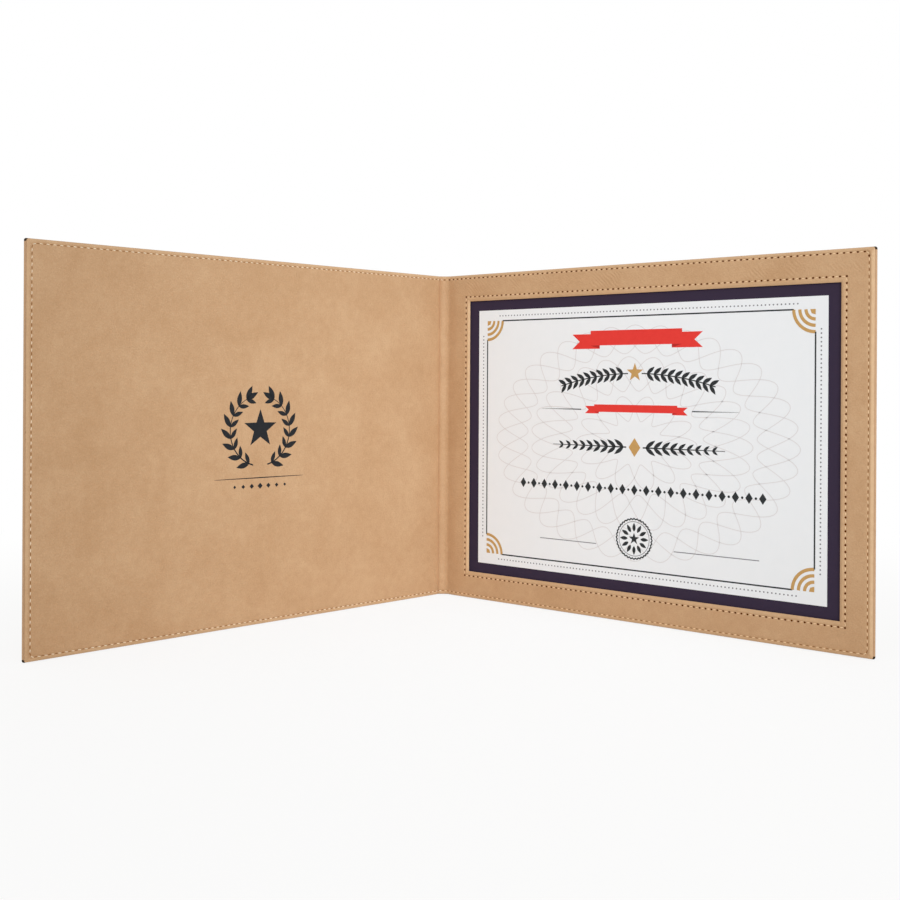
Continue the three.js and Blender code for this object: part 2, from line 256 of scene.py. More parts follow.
def leatherette_material(name, dark, middle, light, worn_and_highlit_tone):
    material, tree = empty_material(name)
    place = add_node(tree, "ShaderNodeTexCoord").outputs["Object"]
    crease = slanted_creases(tree, place)
    cloud = add_node(tree, "ShaderNodeTexNoise", {
        "Vector": place, "Scale": per_metre(CLOUD), "Detail": 4.0, "Roughness": 0.55, "Distortion": 0.4})
    fleck = add_node(tree, "ShaderNodeTexNoise", {
        "Vector": place, "Scale": per_metre(FLECK), "Detail": 3.0, "Roughness": 0.6}).outputs["Fac"]
    pore = add_node(tree, "ShaderNodeTexNoise", {
        "Vector": place, "Scale": per_metre(PORE), "Detail": 2.0}).outputs["Fac"]
    both = add_node(tree, "ShaderNodeMix", {0: FLECK_SHARE, 2: cloud.outputs["Fac"], 3: fleck})
    wiped = add_node(tree, "ShaderNodeMix", {0: PORE_SHARE, 2: both.outputs[0], 3: pore})
    filled_in = add_node(tree, "ShaderNodeMath", {
        0: crease, 1: CREASE_TONE, 2: wiped.outputs[0]}, operation="MULTIPLY_ADD")
    coat = add_node(tree, "ShaderNodeValToRGB", {"Fac": filled_in.outputs[0]})
    ends = coat.color_ramp.elements
    ends[0].position, ends[0].color = 0.5 - TONE_SPREAD, linear(dark)
    ends[1].position, ends[1].color = 0.5 + TONE_SPREAD, linear(light)
    ends.new(0.5).color = linear(middle)
    # paler edges: a little wear on every fold, and painted highlight on the folds that face the soft box
    edges = add_node(tree, "ShaderNodeAttribute", attribute_name="worn_and_highlit").outputs["Fac"]
    uneven = add_node(tree, "ShaderNodeMapRange", {
        "Value": fleck, "From Min": 0.3, "From Max": 0.7, "To Max": edges})
    worn_and_highlit_share = add_node(tree, "ShaderNodeMix", {0: EVEN_PALE_EDGE, 2: uneven.outputs[0], 3: edges})
    tone = add_node(tree, "ShaderNodeMix", {
        0: worn_and_highlit_share.outputs[0], 6: coat.outputs["Color"], 7: linear(worn_and_highlit_tone)}, data_type="RGBA")
    pebble = add_node(tree, "ShaderNodeTexVoronoi", {
        "Vector": place, "Scale": per_metre(PEBBLE), "Randomness": 0.9}, feature="SMOOTH_F1")
    grain = add_node(tree, "ShaderNodeMix", {0: GRAIN_PORES, 2: pebble.outputs["Distance"], 3: pore})
    raised = add_node(tree, "ShaderNodeMath", {
        0: crease, 1: CREASE_GRAIN, 2: grain.outputs[0]}, operation="MULTIPLY_ADD")
    bump = add_node(tree, "ShaderNodeBump", {
        "Strength": 0.9, "Distance": GRAIN_HEIGHT * MM, "Height": raised.outputs[0]})
    rough = add_node(tree, "ShaderNodeMapRange", {"Value": fleck, "To Min": 0.52, "To Max": 0.7})
    shader = add_node(tree, "ShaderNodeBsdfPrincipled", {
        "Base Color": tone.outputs[2], "Roughness": rough.outputs[0], "Normal": bump.outputs["Normal"],
        "IOR": 1.46, "Specular IOR Level": 0.35, "Sheen Weight": 0.08, "Sheen Roughness": 0.5})
    add_node(tree, "ShaderNodeOutputMaterial", {"Surface": shader.outputs[0]})
    return material


# the last colour of each is the paler edge: wear, and painted highlight where the soft box catches a fold
inside_leatherette = leatherette_material(
    "polyurethane leatherette, inside", "#C0976E", "#C79F77", "#CEA880", "#DDB990")
outside_leatherette = leatherette_material(
    "polyurethane leatherette, outside", "#BB936E", "#C29A75", "#C9A27E", "#D3AE88")
print("leatherette: clouds", CLOUD, "mm, pebble", PEBBLE, "mm")

# %% [markdown]
# ## Thread, core, boards, card, paper and inks
# These are all matte, with fine specks of two close tones, so one function makes them. The thread is
# spun polyester, two plies twisted, cream and slightly shiny; a darker copy of it is painted shade, for
# the seams on the frame. This sort of leatherette has a black core, so that a laser marks it black. A
# raw edge shows that core through dust and glue. A needle hole is a flat disc in the colour of the shade
# inside it, painted shade, browner and darker for the deep holes of the tight seams.
# Greyboard is pressed waste paper with flecks, the mount is a dyed card with a fine tooth, and the
# certificate is smooth white paper. Ink lies flat on it: black, greys, reds, and a metallic gold that
# is mostly a matte ochre to the eye.

# %% Thread, core, boards, card, paper and inks
def plain_material(name, low, high, speck_mm, roughness, bump_mm, specular=0.3):
    """Specks of two tones, speck_mm wide and bump_mm high."""
    material, tree = empty_material(name)
    place = add_node(tree, "ShaderNodeTexCoord").outputs["Object"]
    speck = add_node(tree, "ShaderNodeTexNoise", {
        "Vector": place, "Scale": per_metre(speck_mm), "Detail": 4.0, "Roughness": 0.6}).outputs["Fac"]
    tone = add_node(tree, "ShaderNodeMix", {0: speck, 6: linear(low), 7: linear(high)}, data_type="RGBA")
    bump = add_node(tree, "ShaderNodeBump", {"Strength": 0.3, "Distance": bump_mm * MM, "Height": speck})
    rough = add_node(tree, "ShaderNodeMapRange", {
        "Value": speck, "To Min": roughness - 0.06, "To Max": roughness + 0.06})
    shader = add_node(tree, "ShaderNodeBsdfPrincipled", {
        "Base Color": tone.outputs[2], "Roughness": rough.outputs[0], "Normal": bump.outputs["Normal"],
        "Specular IOR Level": specular})
    add_node(tree, "ShaderNodeOutputMaterial", {"Surface": shader.outputs[0]})
    return material


spun_thread = plain_material("spun polyester thread", "#F0D8B4", "#FDF1DC", 0.5, 0.6, 0.05)
# the same thread, darker: painted shade for the seams on the frame
shaded_thread = plain_material("spun polyester thread, painted shade", "#EDCB9E", "#FBE2BA", 0.5, 0.65, 0.05)
black_core = plain_material("black leatherette core", "#15161A", "#25282C", 0.8, 0.7, 0.06, 0.25)
raw_edge = plain_material("raw edge of leatherette", "#33291F", "#483A2C", 0.8, 0.85, 0.06, 0.1)
# needle holes: flat discs painted in the shade that lies inside a hole, darker for the deep holes
needle_hole_shade = plain_material("painted shade of a needle hole", "#8E6136", "#A07247", 0.6, 0.85, 0.02, 0.05)
deep_hole_shade = plain_material("painted shade of a deep needle hole", "#512500", "#633004", 0.6, 0.9, 0.02, 0.05)
greyboard = plain_material("pressed greyboard", "#8C806F", "#A89C8B", 1.6, 0.9, 0.05)
dyed_card = plain_material("dyed mount card", "#31263A", "#382D41", 1.2, 0.8, 0.02, 0.2)
smooth_paper = plain_material("smooth white paper", "#EDF0F2", "#F1F3F5", 6.0, 0.75, 0.005)
black_ink = plain_material("black printing ink", "#24282B", "#2C3033", 2.0, 0.7, 0.002)
grey_ink = plain_material("grey printing ink", "#77777C", "#85858A", 2.0, 0.75, 0.002)
pale_ink = plain_material("pale printing ink", "#DEDCDD", "#E1DFE0", 2.0, 0.75, 0.002)
red_ink = plain_material("red printing ink", "#E0322C", "#EA3D35", 2.0, 0.65, 0.002)
dark_red_ink = plain_material("dark red printing ink", "#B1211F", "#BB2927", 2.0, 0.65, 0.002)
gold_ink = plain_material("ochre gold printing ink", "#BE9252", "#CBA163", 2.0, 0.5, 0.002, 0.4)
print("materials:", len(bpy.data.materials))

# %% [markdown]
# ## The plan of the holder
# Seen from above, the holder is a line that bends twice. A curve object could draw that, but every
# piece has to follow it, so it is kept as points: a few helpers turn, smooth and divide such lines.

# %% Lines in plan
def turned(vector, angle):
    c, s = math.cos(angle), math.sin(angle)
    return np.array([vector[0] * c - vector[1] * s, vector[0] * s + vector[1] * c])


def smooth_line(points, per_piece=24):
    """A Catmull-Rom line through the points."""
    points = np.array(points)
    ends = np.vstack([2 * points[0] - points[1], points, 2 * points[-1] - points[-2]])
    t = np.linspace(0, 1, per_piece, endpoint=False)[:, None]
    pieces = []
    for a, b, c, d in zip(ends, ends[1:], ends[2:], ends[3:]):
        square, cube = 2 * a - 5 * b + 4 * c - d, 3 * b - a - 3 * c + d
        pieces.append(0.5 * (2 * b + (c - a) * t + square * t**2 + cube * t**3))
    return np.vstack(pieces + [points[-1:]])


def along(line):
    return np.concatenate([[0], np.cumsum(np.linalg.norm(np.diff(line, axis=0), axis=1))])


def resampled(line, count):
    reach = along(line)
    wanted = np.linspace(0, reach[-1], count)
    return np.stack([np.interp(wanted, reach, line[:, k]) for k in (0, 1)], 1)


print("a smooth line through 3 points has", len(smooth_line([(0, 0), (1, 1), (2, 0)])), "points")

# %% [markdown]
# Each half runs from the middle of the spine, over a pressed crease at the fold line, to the fore edge.
# The outer sheet turns tightly round the fold. On the inside the front lining dips into a soft groove,
# where no board holds it up, while the thick window frame bridges its crease in a wide round turn.
# Every piece is first drawn flat, with u along the cover and h up from the tail, and then placed on
# this plan, so a stitch on the spine bends just as the sheet below it does.

# %% The plan
COVER_WIDTH, COVER_HEIGHT = 304.8, 228.6  # mm, from fold line to fore edge and from tail to head
SKIN = 0.7  # mm, thickness of the outer sheet
SPINE_DEPTH = 2.6  # mm from the fold lines to the spine's inside face
HINGE_REACH = 12.0  # mm along a cover, past which its faces are flat
OUTER_GROOVE = (  # mm along the cover, mm below the outer face
    (0.7, 0.06), (1.3, 0.22), (1.9, 0.3), (2.5, 0.22), (3.2, 0.06), (4.2, 0), (HINGE_REACH, 0))
STATION_STEP = 0.25  # mm between stations round the crease
ARC_STEPS = 8  # of the outer sheet round the fold

fold = {joint["child"]: np.array(joint["pos_m"][:2]) / MM for joint in frame["joints"]}
FOLD_ANGLE = math.radians(-frame["joints"][0]["range_deg"][0])
spine_run = fold["front_cover"] - fold["back_cover"]
SPINE_WIDTH = float(np.linalg.norm(spine_run))
spine_run /= SPINE_WIDTH


def half_plan(body, to_spine, to_cover, depth, crease, dip, rise):
    """Stations from the middle of the spine to the fore edge, with an inner and an outer point each."""
    origin = fold[body]
    sign = 1 if body == "front_cover" else -1
    spine_in, cover_in = turned(spine_run, math.pi / 2), turned(to_cover, sign * math.pi / 2)
    bisector = (spine_in + cover_in) / np.linalg.norm(spine_in + cover_in)
    half_spine = SPINE_WIDTH / 2

    bottom = origin + bisector * crease
    spine_side = [origin + to_spine * s + spine_in * (SPINE_DEPTH - drop)
                  for s, drop in ((half_spine, 0.0), *dip)]
    cover_side = [origin + to_cover * u + cover_in * (depth - drop) for u, drop in rise]
    inner_spine = smooth_line(spine_side + [bottom] + cover_side[:1])
    inner_cover = smooth_line(spine_side[-1:] + [bottom] + cover_side)
    cut, start = (int(np.argmin(np.linalg.norm(line - bottom, axis=1)))
                  for line in (inner_spine, inner_cover))

    arc = [origin + turned(-spine_in * SKIN, sign * k * FOLD_ANGLE / ARC_STEPS)
           for k in range(ARC_STEPS + 1)]
    middle = ARC_STEPS // 2
    outer_spine = np.vstack([[origin + to_spine * half_spine - spine_in * SKIN], arc[:middle + 1]])
    groove = [origin + to_cover * u + cover_in * (sink - SKIN) for u, sink in OUTER_GROOVE]
    outer_cover = smooth_line(np.vstack([arc[middle:], groove]), 8)

    inner, outer = [], []
    for line, matching in ((inner_spine[:cut + 1], outer_spine), (inner_cover[start:], outer_cover)):
        count = int(along(line)[-1] / STATION_STEP) + 1
        skip = 1 if inner else 0
        inner.append(resampled(line, count)[skip:])
        outer.append(resampled(matching, count)[skip:])
    reach = along(np.vstack(inner))
    u = HINGE_REACH - (reach[-1] - reach)
    far_u = COVER_WIDTH + 1  # a little past the fore edge
    far = origin + to_cover * far_u
    return {
        "body": body, "fold": origin, "way": to_cover,
        "chord": (to_cover - to_spine) / np.linalg.norm(to_cover - to_spine),
        "u": np.append(u, far_u), "hinge_u": u,
        "inner": np.vstack([*inner, far + cover_in * depth]),
        "outer": np.vstack([*outer, far - cover_in * SKIN]),
    }


print("fold angle:", round(math.degrees(FOLD_ANGLE), 1), "degrees, spine:", round(SPINE_WIDTH, 2), "mm")

# %% Both halves
FRONT_DEPTH, BACK_DEPTH = 3.15, 3.85  # mm from a fold line to its cover's inside face
FRONT_CREASE, BACK_CREASE = 2.3, 3.5  # mm from a fold line to the bottom of its crease
FRONT_DIP = (  # mm from the fold line on the spine, mm below the spine's face
    (3.2, 0.01), (2.4, 0.06), (1.6, 0.2))
BACK_DIP = ((3.2, -0.043), (2.4, -0.205), (1.6, -0.498))
FRONT_RISE = (  # mm from the fold line on the cover, mm below the cover's face
    (1.3, 0.74), (2.0, 0.42), (2.8, 0.19), (3.8, 0.06), (5.2, 0.015), (7.0, 0.0), (9.0, 0.0),
    (HINGE_REACH, 0.0))
BACK_RISE = (
    (2.0, 0.67), (2.8, 0.66), (4.0, 0.53), (5.5, 0.37), (7.0, 0.22), (8.2, 0.11), (9.5, 0.03),
    (HINGE_REACH, 0.0))

front = half_plan("front_cover", -spine_run, turned(spine_run, FOLD_ANGLE),
                  FRONT_DEPTH, FRONT_CREASE, FRONT_DIP, FRONT_RISE)
back = half_plan("back_cover", spine_run, turned(-spine_run, -FOLD_ANGLE),
                 BACK_DEPTH, BACK_CREASE, BACK_DIP, BACK_RISE)
print("stations round each crease:", len(front["hinge_u"]), len(back["hinge_u"]))

# %% [markdown]
# A flat drawing is placed on the plan by its station and by w, the depth below the face it lies on.
# A Curve modifier could bend flat meshes too, but only along their middle. Here one function serves
# the inside and the outside, because it only has to know from which face to count.

# %% From the flat drawing to the standing holder
def placed(half, u, h, w, outside=False):
    u, h, w = np.broadcast_arrays(*(np.asarray(x, float) for x in (u, h, w)))
    inner, outer = (
        np.stack([np.interp(u, half["u"], half[side][:, k]) for k in (0, 1)], -1)
        for side in ("inner", "outer"))
    near, far = (outer, inner) if outside else (inner, outer)
    across = far - near
    across /= np.linalg.norm(across, axis=-1, keepdims=True)
    return np.concatenate([near + across * w[..., None], h[..., None]], -1) * MM


def thickness(half, u):
    return np.interp(u, half["u"], np.linalg.norm(half["inner"] - half["outer"], axis=1))


print("thickness at crease and cover:",
      [round(float(thickness(front, u).min()), 2) for u in (front["u"], 100.0)])

# %% [markdown]
# ## Seams and the lie of the leatherette
# A seam pulls the sheet down into a soft valley, and the rim outside it stands up a little. Over a
# board the sheet is never quite flat either: it rises and falls by a few hundredths of a millimetre,
# which is enough to catch the light. This could be bump in the material, but a bump has no outline,
# so it is a depth that every point of a face, stitch or hole takes from here.

# %% Distance to the seams
EDGE_SEAM = {"fore": 3.5, "head": 2.7, "corner": 2.5}  # mm from the edges, and the bend at the corners
BORDER, HINGE_BORDER = 19.05, 21.3  # mm of leatherette round the window
WINDOW = {"left": HINGE_BORDER, "right": COVER_WIDTH - BORDER,
          "bottom": BORDER, "top": COVER_HEIGHT - BORDER}
WINDOW_SEAM, WINDOW_SEAM_CORNER = 3.2, 0.8  # mm outside the window, and the bend at its corners


def from_rounded_box(u, h, left, right, bottom, top, corner):
    """Distance to the line of a rectangle with round corners, negative inside it."""
    qu = np.abs(u - (left + right) / 2) - (right - left) / 2 + corner
    qh = np.abs(h - (bottom + top) / 2) - (top - bottom) / 2 + corner
    return np.minimum(np.maximum(qu, qh), 0) + np.hypot(np.maximum(qu, 0), np.maximum(qh, 0)) - corner


def from_edge_seam(u, h):
    """The spine end of this seam is open, so its box goes far past it."""
    fore, head, corner = EDGE_SEAM["fore"], EDGE_SEAM["head"], EDGE_SEAM["corner"]
    return from_rounded_box(u, h, -2 * COVER_WIDTH, COVER_WIDTH - fore, head, COVER_HEIGHT - head, corner)


def from_window_seam(u, h):
    grow = WINDOW_SEAM
    return from_rounded_box(u, h, WINDOW["left"] - grow, WINDOW["right"] + grow, WINDOW["bottom"] - grow,
                            WINDOW["top"] + grow, WINDOW_SEAM_CORNER)


print("window in mm:", round(WINDOW["right"] - WINDOW["left"], 2), "x",
      round(WINDOW["top"] - WINDOW["bottom"], 2))

# %% Relief of the faces
VALLEY_DEPTH, VALLEY_WIDTH = 0.26, 0.62  # mm
RIM_HEIGHT, RIM_WIDTH, RIM_AT = 0.24, 0.9, 1.6  # mm, the last from the seam to the top of the rim
WAVE = 0.03  # mm
CALM = 40  # mm past the crease over which the waves come in


def lie(u, h):
    """Slow rise and fall of a sheet over its board, still at the crease so that both halves meet."""
    calm = np.clip((u - HINGE_REACH) / CALM, 0, 1)
    # two waves, each bent by a slower one across it, so that no repeat shows
    wave = np.sin(u / 23 + 0.7 * np.sin(h / 31)) + 0.8 * np.sin(h / 19 + 1.3 + 0.6 * np.sin(u / 41))
    return WAVE * calm * wave


def seam_relief(gap, rim_side):
    """Depth of the valley along a seam, less the rim on one side of it."""
    valley = VALLEY_DEPTH * np.exp(-(gap / VALLEY_WIDTH) ** 2)
    return valley - RIM_HEIGHT * np.exp(-((rim_side * gap - RIM_AT) / RIM_WIDTH) ** 2)


def relief(u, h, window=False):
    """Depth of the face below its plain level."""
    w = lie(u, h) + seam_relief(from_edge_seam(u, h), 1)
    return w + seam_relief(from_window_seam(u, h), -1) if window else w


print("depth on the edge seam:", round(float(relief(150.0, EDGE_SEAM["head"])), 2), "mm")

# %% [markdown]
# ## How a folded sheet is made
# A sheet could be a flat plane with a Solidify and a Bevel modifier, but a folded edge is really the
# same sheet turned back under itself. So each sheet is built from grids: its face, its underside, and
# a ring that is turned under along the edges, with a round nose where it turns. Grid lines lie close
# together near edges and seams and far apart on the flat.

# %% Grid lines of a sheet
EDGE_LINES = (  # mm from an edge
    0, 0.04, 0.12, 0.22, 0.35, 0.5, 0.7, 0.9, 1.15, 1.45, 1.75, 2.05, 2.35, 2.6, 2.85, 3.1, 3.35, 3.6,
    3.9, 4.3, 4.8, 5.4, 6.0, 7.0, 8.0)
WINDOW_LINES = (  # mm outside the window
    0, 0.04, 0.12, 0.22, 0.35, 0.5, 0.7, 0.9, 1.2, 1.6, 2.0, 2.4, 2.7, 3.0, 3.2, 3.4, 3.7, 4.1, 4.7,
    5.6, 6.7, 8.0)
COARSE = 4.5  # mm between grid lines on the flat


def filled(lines):
    """Adds even lines where the given ones leave a wide space."""
    lines = sorted(set(np.round(lines, 6)))
    out = []
    for a, b in zip(lines, lines[1:]):
        out.extend(np.linspace(a, b, max(1, round((b - a) / COARSE)), endpoint=False))
    return np.array(out + [lines[-1]])


def sheet_lines(half, window):
    u = list(half["hinge_u"]) + [COVER_WIDTH - d for d in EDGE_LINES]
    h = list(EDGE_LINES) + [COVER_HEIGHT - d for d in EDGE_LINES]
    if window:
        u += [WINDOW["left"] - d for d in WINDOW_LINES] + [WINDOW["right"] + d for d in WINDOW_LINES]
        h += [WINDOW["bottom"] - d for d in WINDOW_LINES] + [WINDOW["top"] + d for d in WINDOW_LINES]
    return filled(u), filled(h)


print("lines of the front sheet:", [len(x) for x in sheet_lines(front, False)])

# %% [markdown]
# Grids and loose polygons are joined into one mesh by merging the points that fall together. Every
# piece here goes through the same last step, which turns its faces outward and counts open edges: a
# closed sheet has none.

# %% A mesh from patches
WELD = 2e-7  # metres within which points are merged


def new_piece(name, points, faces, weld=None):
    data = bpy.data.meshes.new(name)
    data.from_pydata(np.vstack(points).tolist(), [], faces)
    work = bmesh.new()
    work.from_mesh(data)
    if weld:
        bmesh.ops.remove_doubles(work, verts=work.verts, dist=weld)
        bmesh.ops.delete(work, geom=[v for v in work.verts if not v.link_faces], context="VERTS")
    bmesh.ops.recalc_face_normals(work, faces=work.faces)
    open_edges = sum(len(e.link_faces) != 2 for e in work.edges)
    work.to_mesh(data)
    work.free()
    piece = bpy.data.objects.new(name, data)
    scene.collection.objects.link(piece)
    print(name, "has", len(data.polygons), "faces and", open_edges, "open edges")
    return piece


def patch_faces(shape, keep, start):
    index = start + np.arange(shape[0] * shape[1]).reshape(shape)
    quads = np.stack([index[:-1, :-1], index[1:, :-1], index[1:, 1:], index[:-1, 1:]], -1)
    return quads[keep].tolist()


def welded_mesh(name, patches, polygons=()):
    """Patches are (points on a grid, which cells to keep); polygons are lists of points."""
    points, faces = [], []
    count = 0
    for grid, keep in patches:
        faces += patch_faces(grid.shape[:2], keep, count)
        points.append(grid.reshape(-1, 3))
        count += grid.shape[0] * grid.shape[1]
    for corners in polygons:
        faces.append(list(range(count, count + len(corners))))
        points.append(np.array(corners))
        count += len(corners)
    return new_piece(name, points, faces, WELD)


def smooth(piece, angle=50):
    piece.data.shade_smooth()
    piece.data.set_sharp_from_angle(angle=math.radians(angle))


print("faces of a grid of 3 x 3 points:", len(patch_faces((3, 3), np.ones((2, 2), bool), 0)))

# %% [markdown]
# Near its outline a sheet does three things. At a fore corner its outline is round, so the grid's
# corner is bent onto loops that keep their distance from the edge. Towards a fold its face sinks in a
# round nose. And an inner sheet is set in a little, so that the one behind it shows as a thin line.

# %% Corners and noses
CORNER_RADIUS = 1.2  # mm
NOSE = 3.0  # mm from the outline to where a folded edge is flat


def with_round_corners(u, h, radius):
    """Bends the grid at the two fore corners onto loops round a corner of this radius."""
    du, low = COVER_WIDTH - u, h < COVER_HEIGHT / 2
    dh = np.where(low, h, COVER_HEIGHT - h)
    near = np.minimum(du, dh)
    arc = np.maximum(radius - near, 1e-9)
    angle = math.pi / 4 * (1 - np.clip((np.maximum(du, dh) - near) / arc, 0, 1))
    close, away = radius - arc * np.cos(angle), radius - arc * np.sin(angle)
    bent = (du < radius) & (dh < radius)
    new_du = np.where(bent, np.where(du < dh, close, away), du)
    new_dh = np.where(bent, np.where(du < dh, away, close), dh)
    return COVER_WIDTH - new_du, np.where(low, new_dh, COVER_HEIGHT - new_dh)


def nose_drop(distance, height):
    """How far a face has sunk at this distance from a folded edge of this height."""
    t = np.clip(1 - distance / NOSE, 0, 1)
    return height / 2 * (1 - np.sqrt(1 - t**2))


def set_in(u, h, inset):
    edges = (COVER_WIDTH - u, h, COVER_HEIGHT - h)
    fore, tail, head = (inset * np.clip(1 - d / NOSE, 0, 1) for d in edges)
    return u - fore, h + tail - head


print("an edge 2 mm high has sunk by", round(float(nose_drop(0.5, 2.0)), 2), "mm half a millimetre in")

# %% [markdown]
# A turned-under part is joined to the rest by narrow strips: one along the fold, on its inner side,
# and one along its raw edge. At the spine the sheet is cut through, and the cut shows its layers.

# %% Strips and cut ends
TURN_UNDER, WINDOW_HEM = 6.0, 8.0  # mm turned under along the edges and round the window
HAIR = 1e-6  # mm of slack when distances are compared


def find(lines, value):
    return int(np.argmin(np.abs(lines - value)))


def edge_loop(u_lines, h_lines, distance):
    """The grid lines at this distance from tail, head and fore edge, as rows and columns."""
    fore = find(u_lines, COVER_WIDTH - distance)
    tail, head = find(h_lines, distance), find(h_lines, COVER_HEIGHT - distance)
    return (slice(0, fore + 1), tail), (slice(0, fore + 1), head), (fore, slice(tail, head + 1))


def window_loop(u_lines, h_lines, distance):
    left, right = find(u_lines, WINDOW["left"] - distance), find(u_lines, WINDOW["right"] + distance)
    low, top = find(h_lines, WINDOW["bottom"] - distance), find(h_lines, WINDOW["top"] + distance)
    across, up = slice(left, right + 1), slice(low, top + 1)
    return (across, low), (across, top), (left, up), (right, up)


def strip(first, second, rows, columns):
    """A patch that joins a line of one grid to the same line of another."""
    pair = np.stack([first[rows, columns].reshape(-1, 3), second[rows, columns].reshape(-1, 3)])
    return pair, np.ones((1, pair.shape[1] - 1), bool)


def cut_end(h_lines, face, lining, hem_face, hem_back, inner):
    """Polygons between the ends of the layers: two bands on the flat, one bent band round each nose."""
    polygons = []
    for j in range(len(h_lines) - 1):
        near = [min(h_lines[k], COVER_HEIGHT - h_lines[k]) for k in (j, j + 1)]
        if min(near) >= inner:
            polygons.append([face[j], face[j + 1], lining[j + 1], lining[j]])
            if max(near) <= TURN_UNDER + HAIR:
                polygons.append([hem_face[j], hem_face[j + 1], hem_back[j + 1], hem_back[j]])
            continue
        loop = [face[j], face[j + 1], hem_face[j + 1], hem_face[j]]
        if max(near) >= inner:
            inward = j + 1 if near[1] > near[0] else j
            middle = [lining[inward], hem_back[inward]]
            loop = loop[:2] + middle + loop[2:] if inward == j + 1 else loop + middle[::-1]
        polygons.append(loop)
    return polygons


print("turned under:", TURN_UNDER, "mm at the edges,", WINDOW_HEM, "mm round the window")

# %% [markdown]
# The sheet function follows the real making: the face with its relief, the nose, the part turned
# under, and the inner side of all that, as one closed sheet.

# %% A sheet with its edges turned under
RELIEF_FADE = 1.2  # mm from the outline over which the relief comes in


def outside_window(u, h):
    return np.maximum(np.maximum(WINDOW["left"] - u, u - WINDOW["right"]),
                      np.maximum(WINDOW["bottom"] - h, h - WINDOW["top"]))


def sheet_grid(half, window):
    """Lines and points of the grid, their distance to the nearest fold, and what is turned under there."""
    u_lines, h_lines = sheet_lines(half, window)
    u, h = np.meshgrid(u_lines, h_lines, indexing="ij")
    near = np.minimum(COVER_WIDTH - u, np.minimum(h, COVER_HEIGHT - h))
    turn = np.full_like(near, TURN_UNDER)
    if window:
        out = outside_window(u, h)
        turn = np.where(out < near, WINDOW_HEM, turn)
        near = np.minimum(near, out)
    return u_lines, h_lines, *with_round_corners(u, h, CORNER_RADIUS), near, turn


def of_cells(values, pick):
    return pick([values[:-1, :-1], values[1:, :-1], values[1:, 1:], values[:-1, 1:]], axis=0)


def folded_sheet(name, half, outside, window, layer, under, fold_height, inner_line, inset=0.0):
    """layer, under and fold_height give the thickness at u of the sheet, of the part turned under, if
    any, and of the whole fold. inner_line is how far from the outline the fold is hollow inside."""
    u_lines, h_lines, u, h, near, turn = sheet_grid(half, window)
    high = fold_height(u)
    drop = nose_drop(near, high)
    depth = drop + relief(u, h, window) * np.clip(near / RELIEF_FADE, 0, 1)
    u, h = set_in(u, h, inset)
    face, hem_face = (placed(half, u, h, w, outside) for w in (depth, high - drop))
    least, most, limit = of_cells(near, np.min), of_cells(near, np.max), of_cells(turn, np.min)
    present = most > HAIR
    if under is None:
        cut = strip(face, hem_face, 0, slice(None))
        return welded_mesh(name, [(face, present), (hem_face, present), cut])
    inner = inner_line - HAIR
    lining, hem_back = (placed(half, u, h, w, outside) for w in (layer(u), high - under(u)))
    ring = present & (most <= limit + HAIR)
    patches = [(face, present), (lining, present & (least >= inner)),
               (hem_face, ring), (hem_back, ring & (least >= inner))]
    loops = [(edge_loop, TURN_UNDER)]
    if window:
        loops.append((window_loop, WINDOW_HEM))
    for loop, raw_at in loops:
        for distance, above in ((inner_line, lining), (raw_at, hem_face)):
            patches += [strip(above, hem_back, *lines) for lines in loop(u_lines, h_lines, distance)]
    end = cut_end(h_lines, face[0], lining[0], hem_face[0], hem_back[0], inner)
    return welded_mesh(name, patches, end)


print("the nose of a folded edge is", NOSE, "mm wide")

# %% [markdown]
# ## The inside leatherette
# On the real holder it is one sheet from fore edge to fore edge. A piece can bend across one hinge
# only, so it is made in two halves that meet in the middle of the spine. The front half is a plain
# lining. The back half has the window, and all its edges are hemmed.

# %% Inside leatherette
LINING = 0.7  # mm, thickness of the inner sheet
HEM_GAP = 0.02  # mm between the layers of a hem
LINING_INSET = 0.5  # mm from the outline to the inside leatherette


def towards_cover(u):
    return np.clip((u + 1) / (HINGE_REACH + 1), 0, 1)


def frame_layer(u):
    """Thickness of the frame's leatherette. It is folded double, and pared to half at the spine, where
    the front half meets it."""
    return LINING / 2 * (1 + towards_cover(u))


def single_fold(u):
    return LINING + 0 * u


def double_fold(u):
    return 2 * frame_layer(u) + HEM_GAP


def lining_height(half):
    return single_fold if half is front else double_fold


front_inside = folded_sheet("front_inside_leatherette", front, False, False, single_fold, None,
                            single_fold, inner_line=0, inset=LINING_INSET)
back_inside = folded_sheet("back_inside_leatherette", back, False, True, frame_layer, frame_layer,
                           double_fold, inner_line=0.5, inset=LINING_INSET)
for piece in (front_inside, back_inside):
    piece.data.materials.append(inside_leatherette)

# %% [markdown]
# ## The outside leatherette
# It is glued over the boards and turned in over three edges, with mitred corners. Its turned-in part
# lies between board and lining, so the edge of the holder shows two folds with a dark line between
# them. At the mitres a trace of the raw edge shows. A separate piece there would be a loose crumb, so
# the faces at the corners take a second material instead.

# %% Outside leatherette
GLUE, TURNED_IN = 0.35, 0.5  # mm, gap below the lining and pared thickness of the turned-in part
FULL_ROOM = 1.8  # mm between outer sheet and lining where both fit at full thickness


def room(half, u):
    free = thickness(half, u) - SKIN - lining_height(half)(u)
    return np.clip(free / FULL_ROOM, 0, 1)


def outside_sheet(name, half):
    def skin_layer(u):
        return SKIN + 0 * u

    def turned_layer(u):
        return TURNED_IN * room(half, u)

    def edge_height(u):
        return thickness(half, u) - lining_height(half)(u) - GLUE * room(half, u)

    return folded_sheet(name, half, True, False, skin_layer, turned_layer, edge_height, inner_line=0.7)


front_outside = outside_sheet("front_outside_leatherette", front)
back_outside = outside_sheet("back_outside_leatherette", back)

# %% Raw edges at the mitres
CORE_REACH = 1.5  # mm from the tip of a fore corner within which the raw edge shows
TIP = 0.3  # mm from the outline to that tip

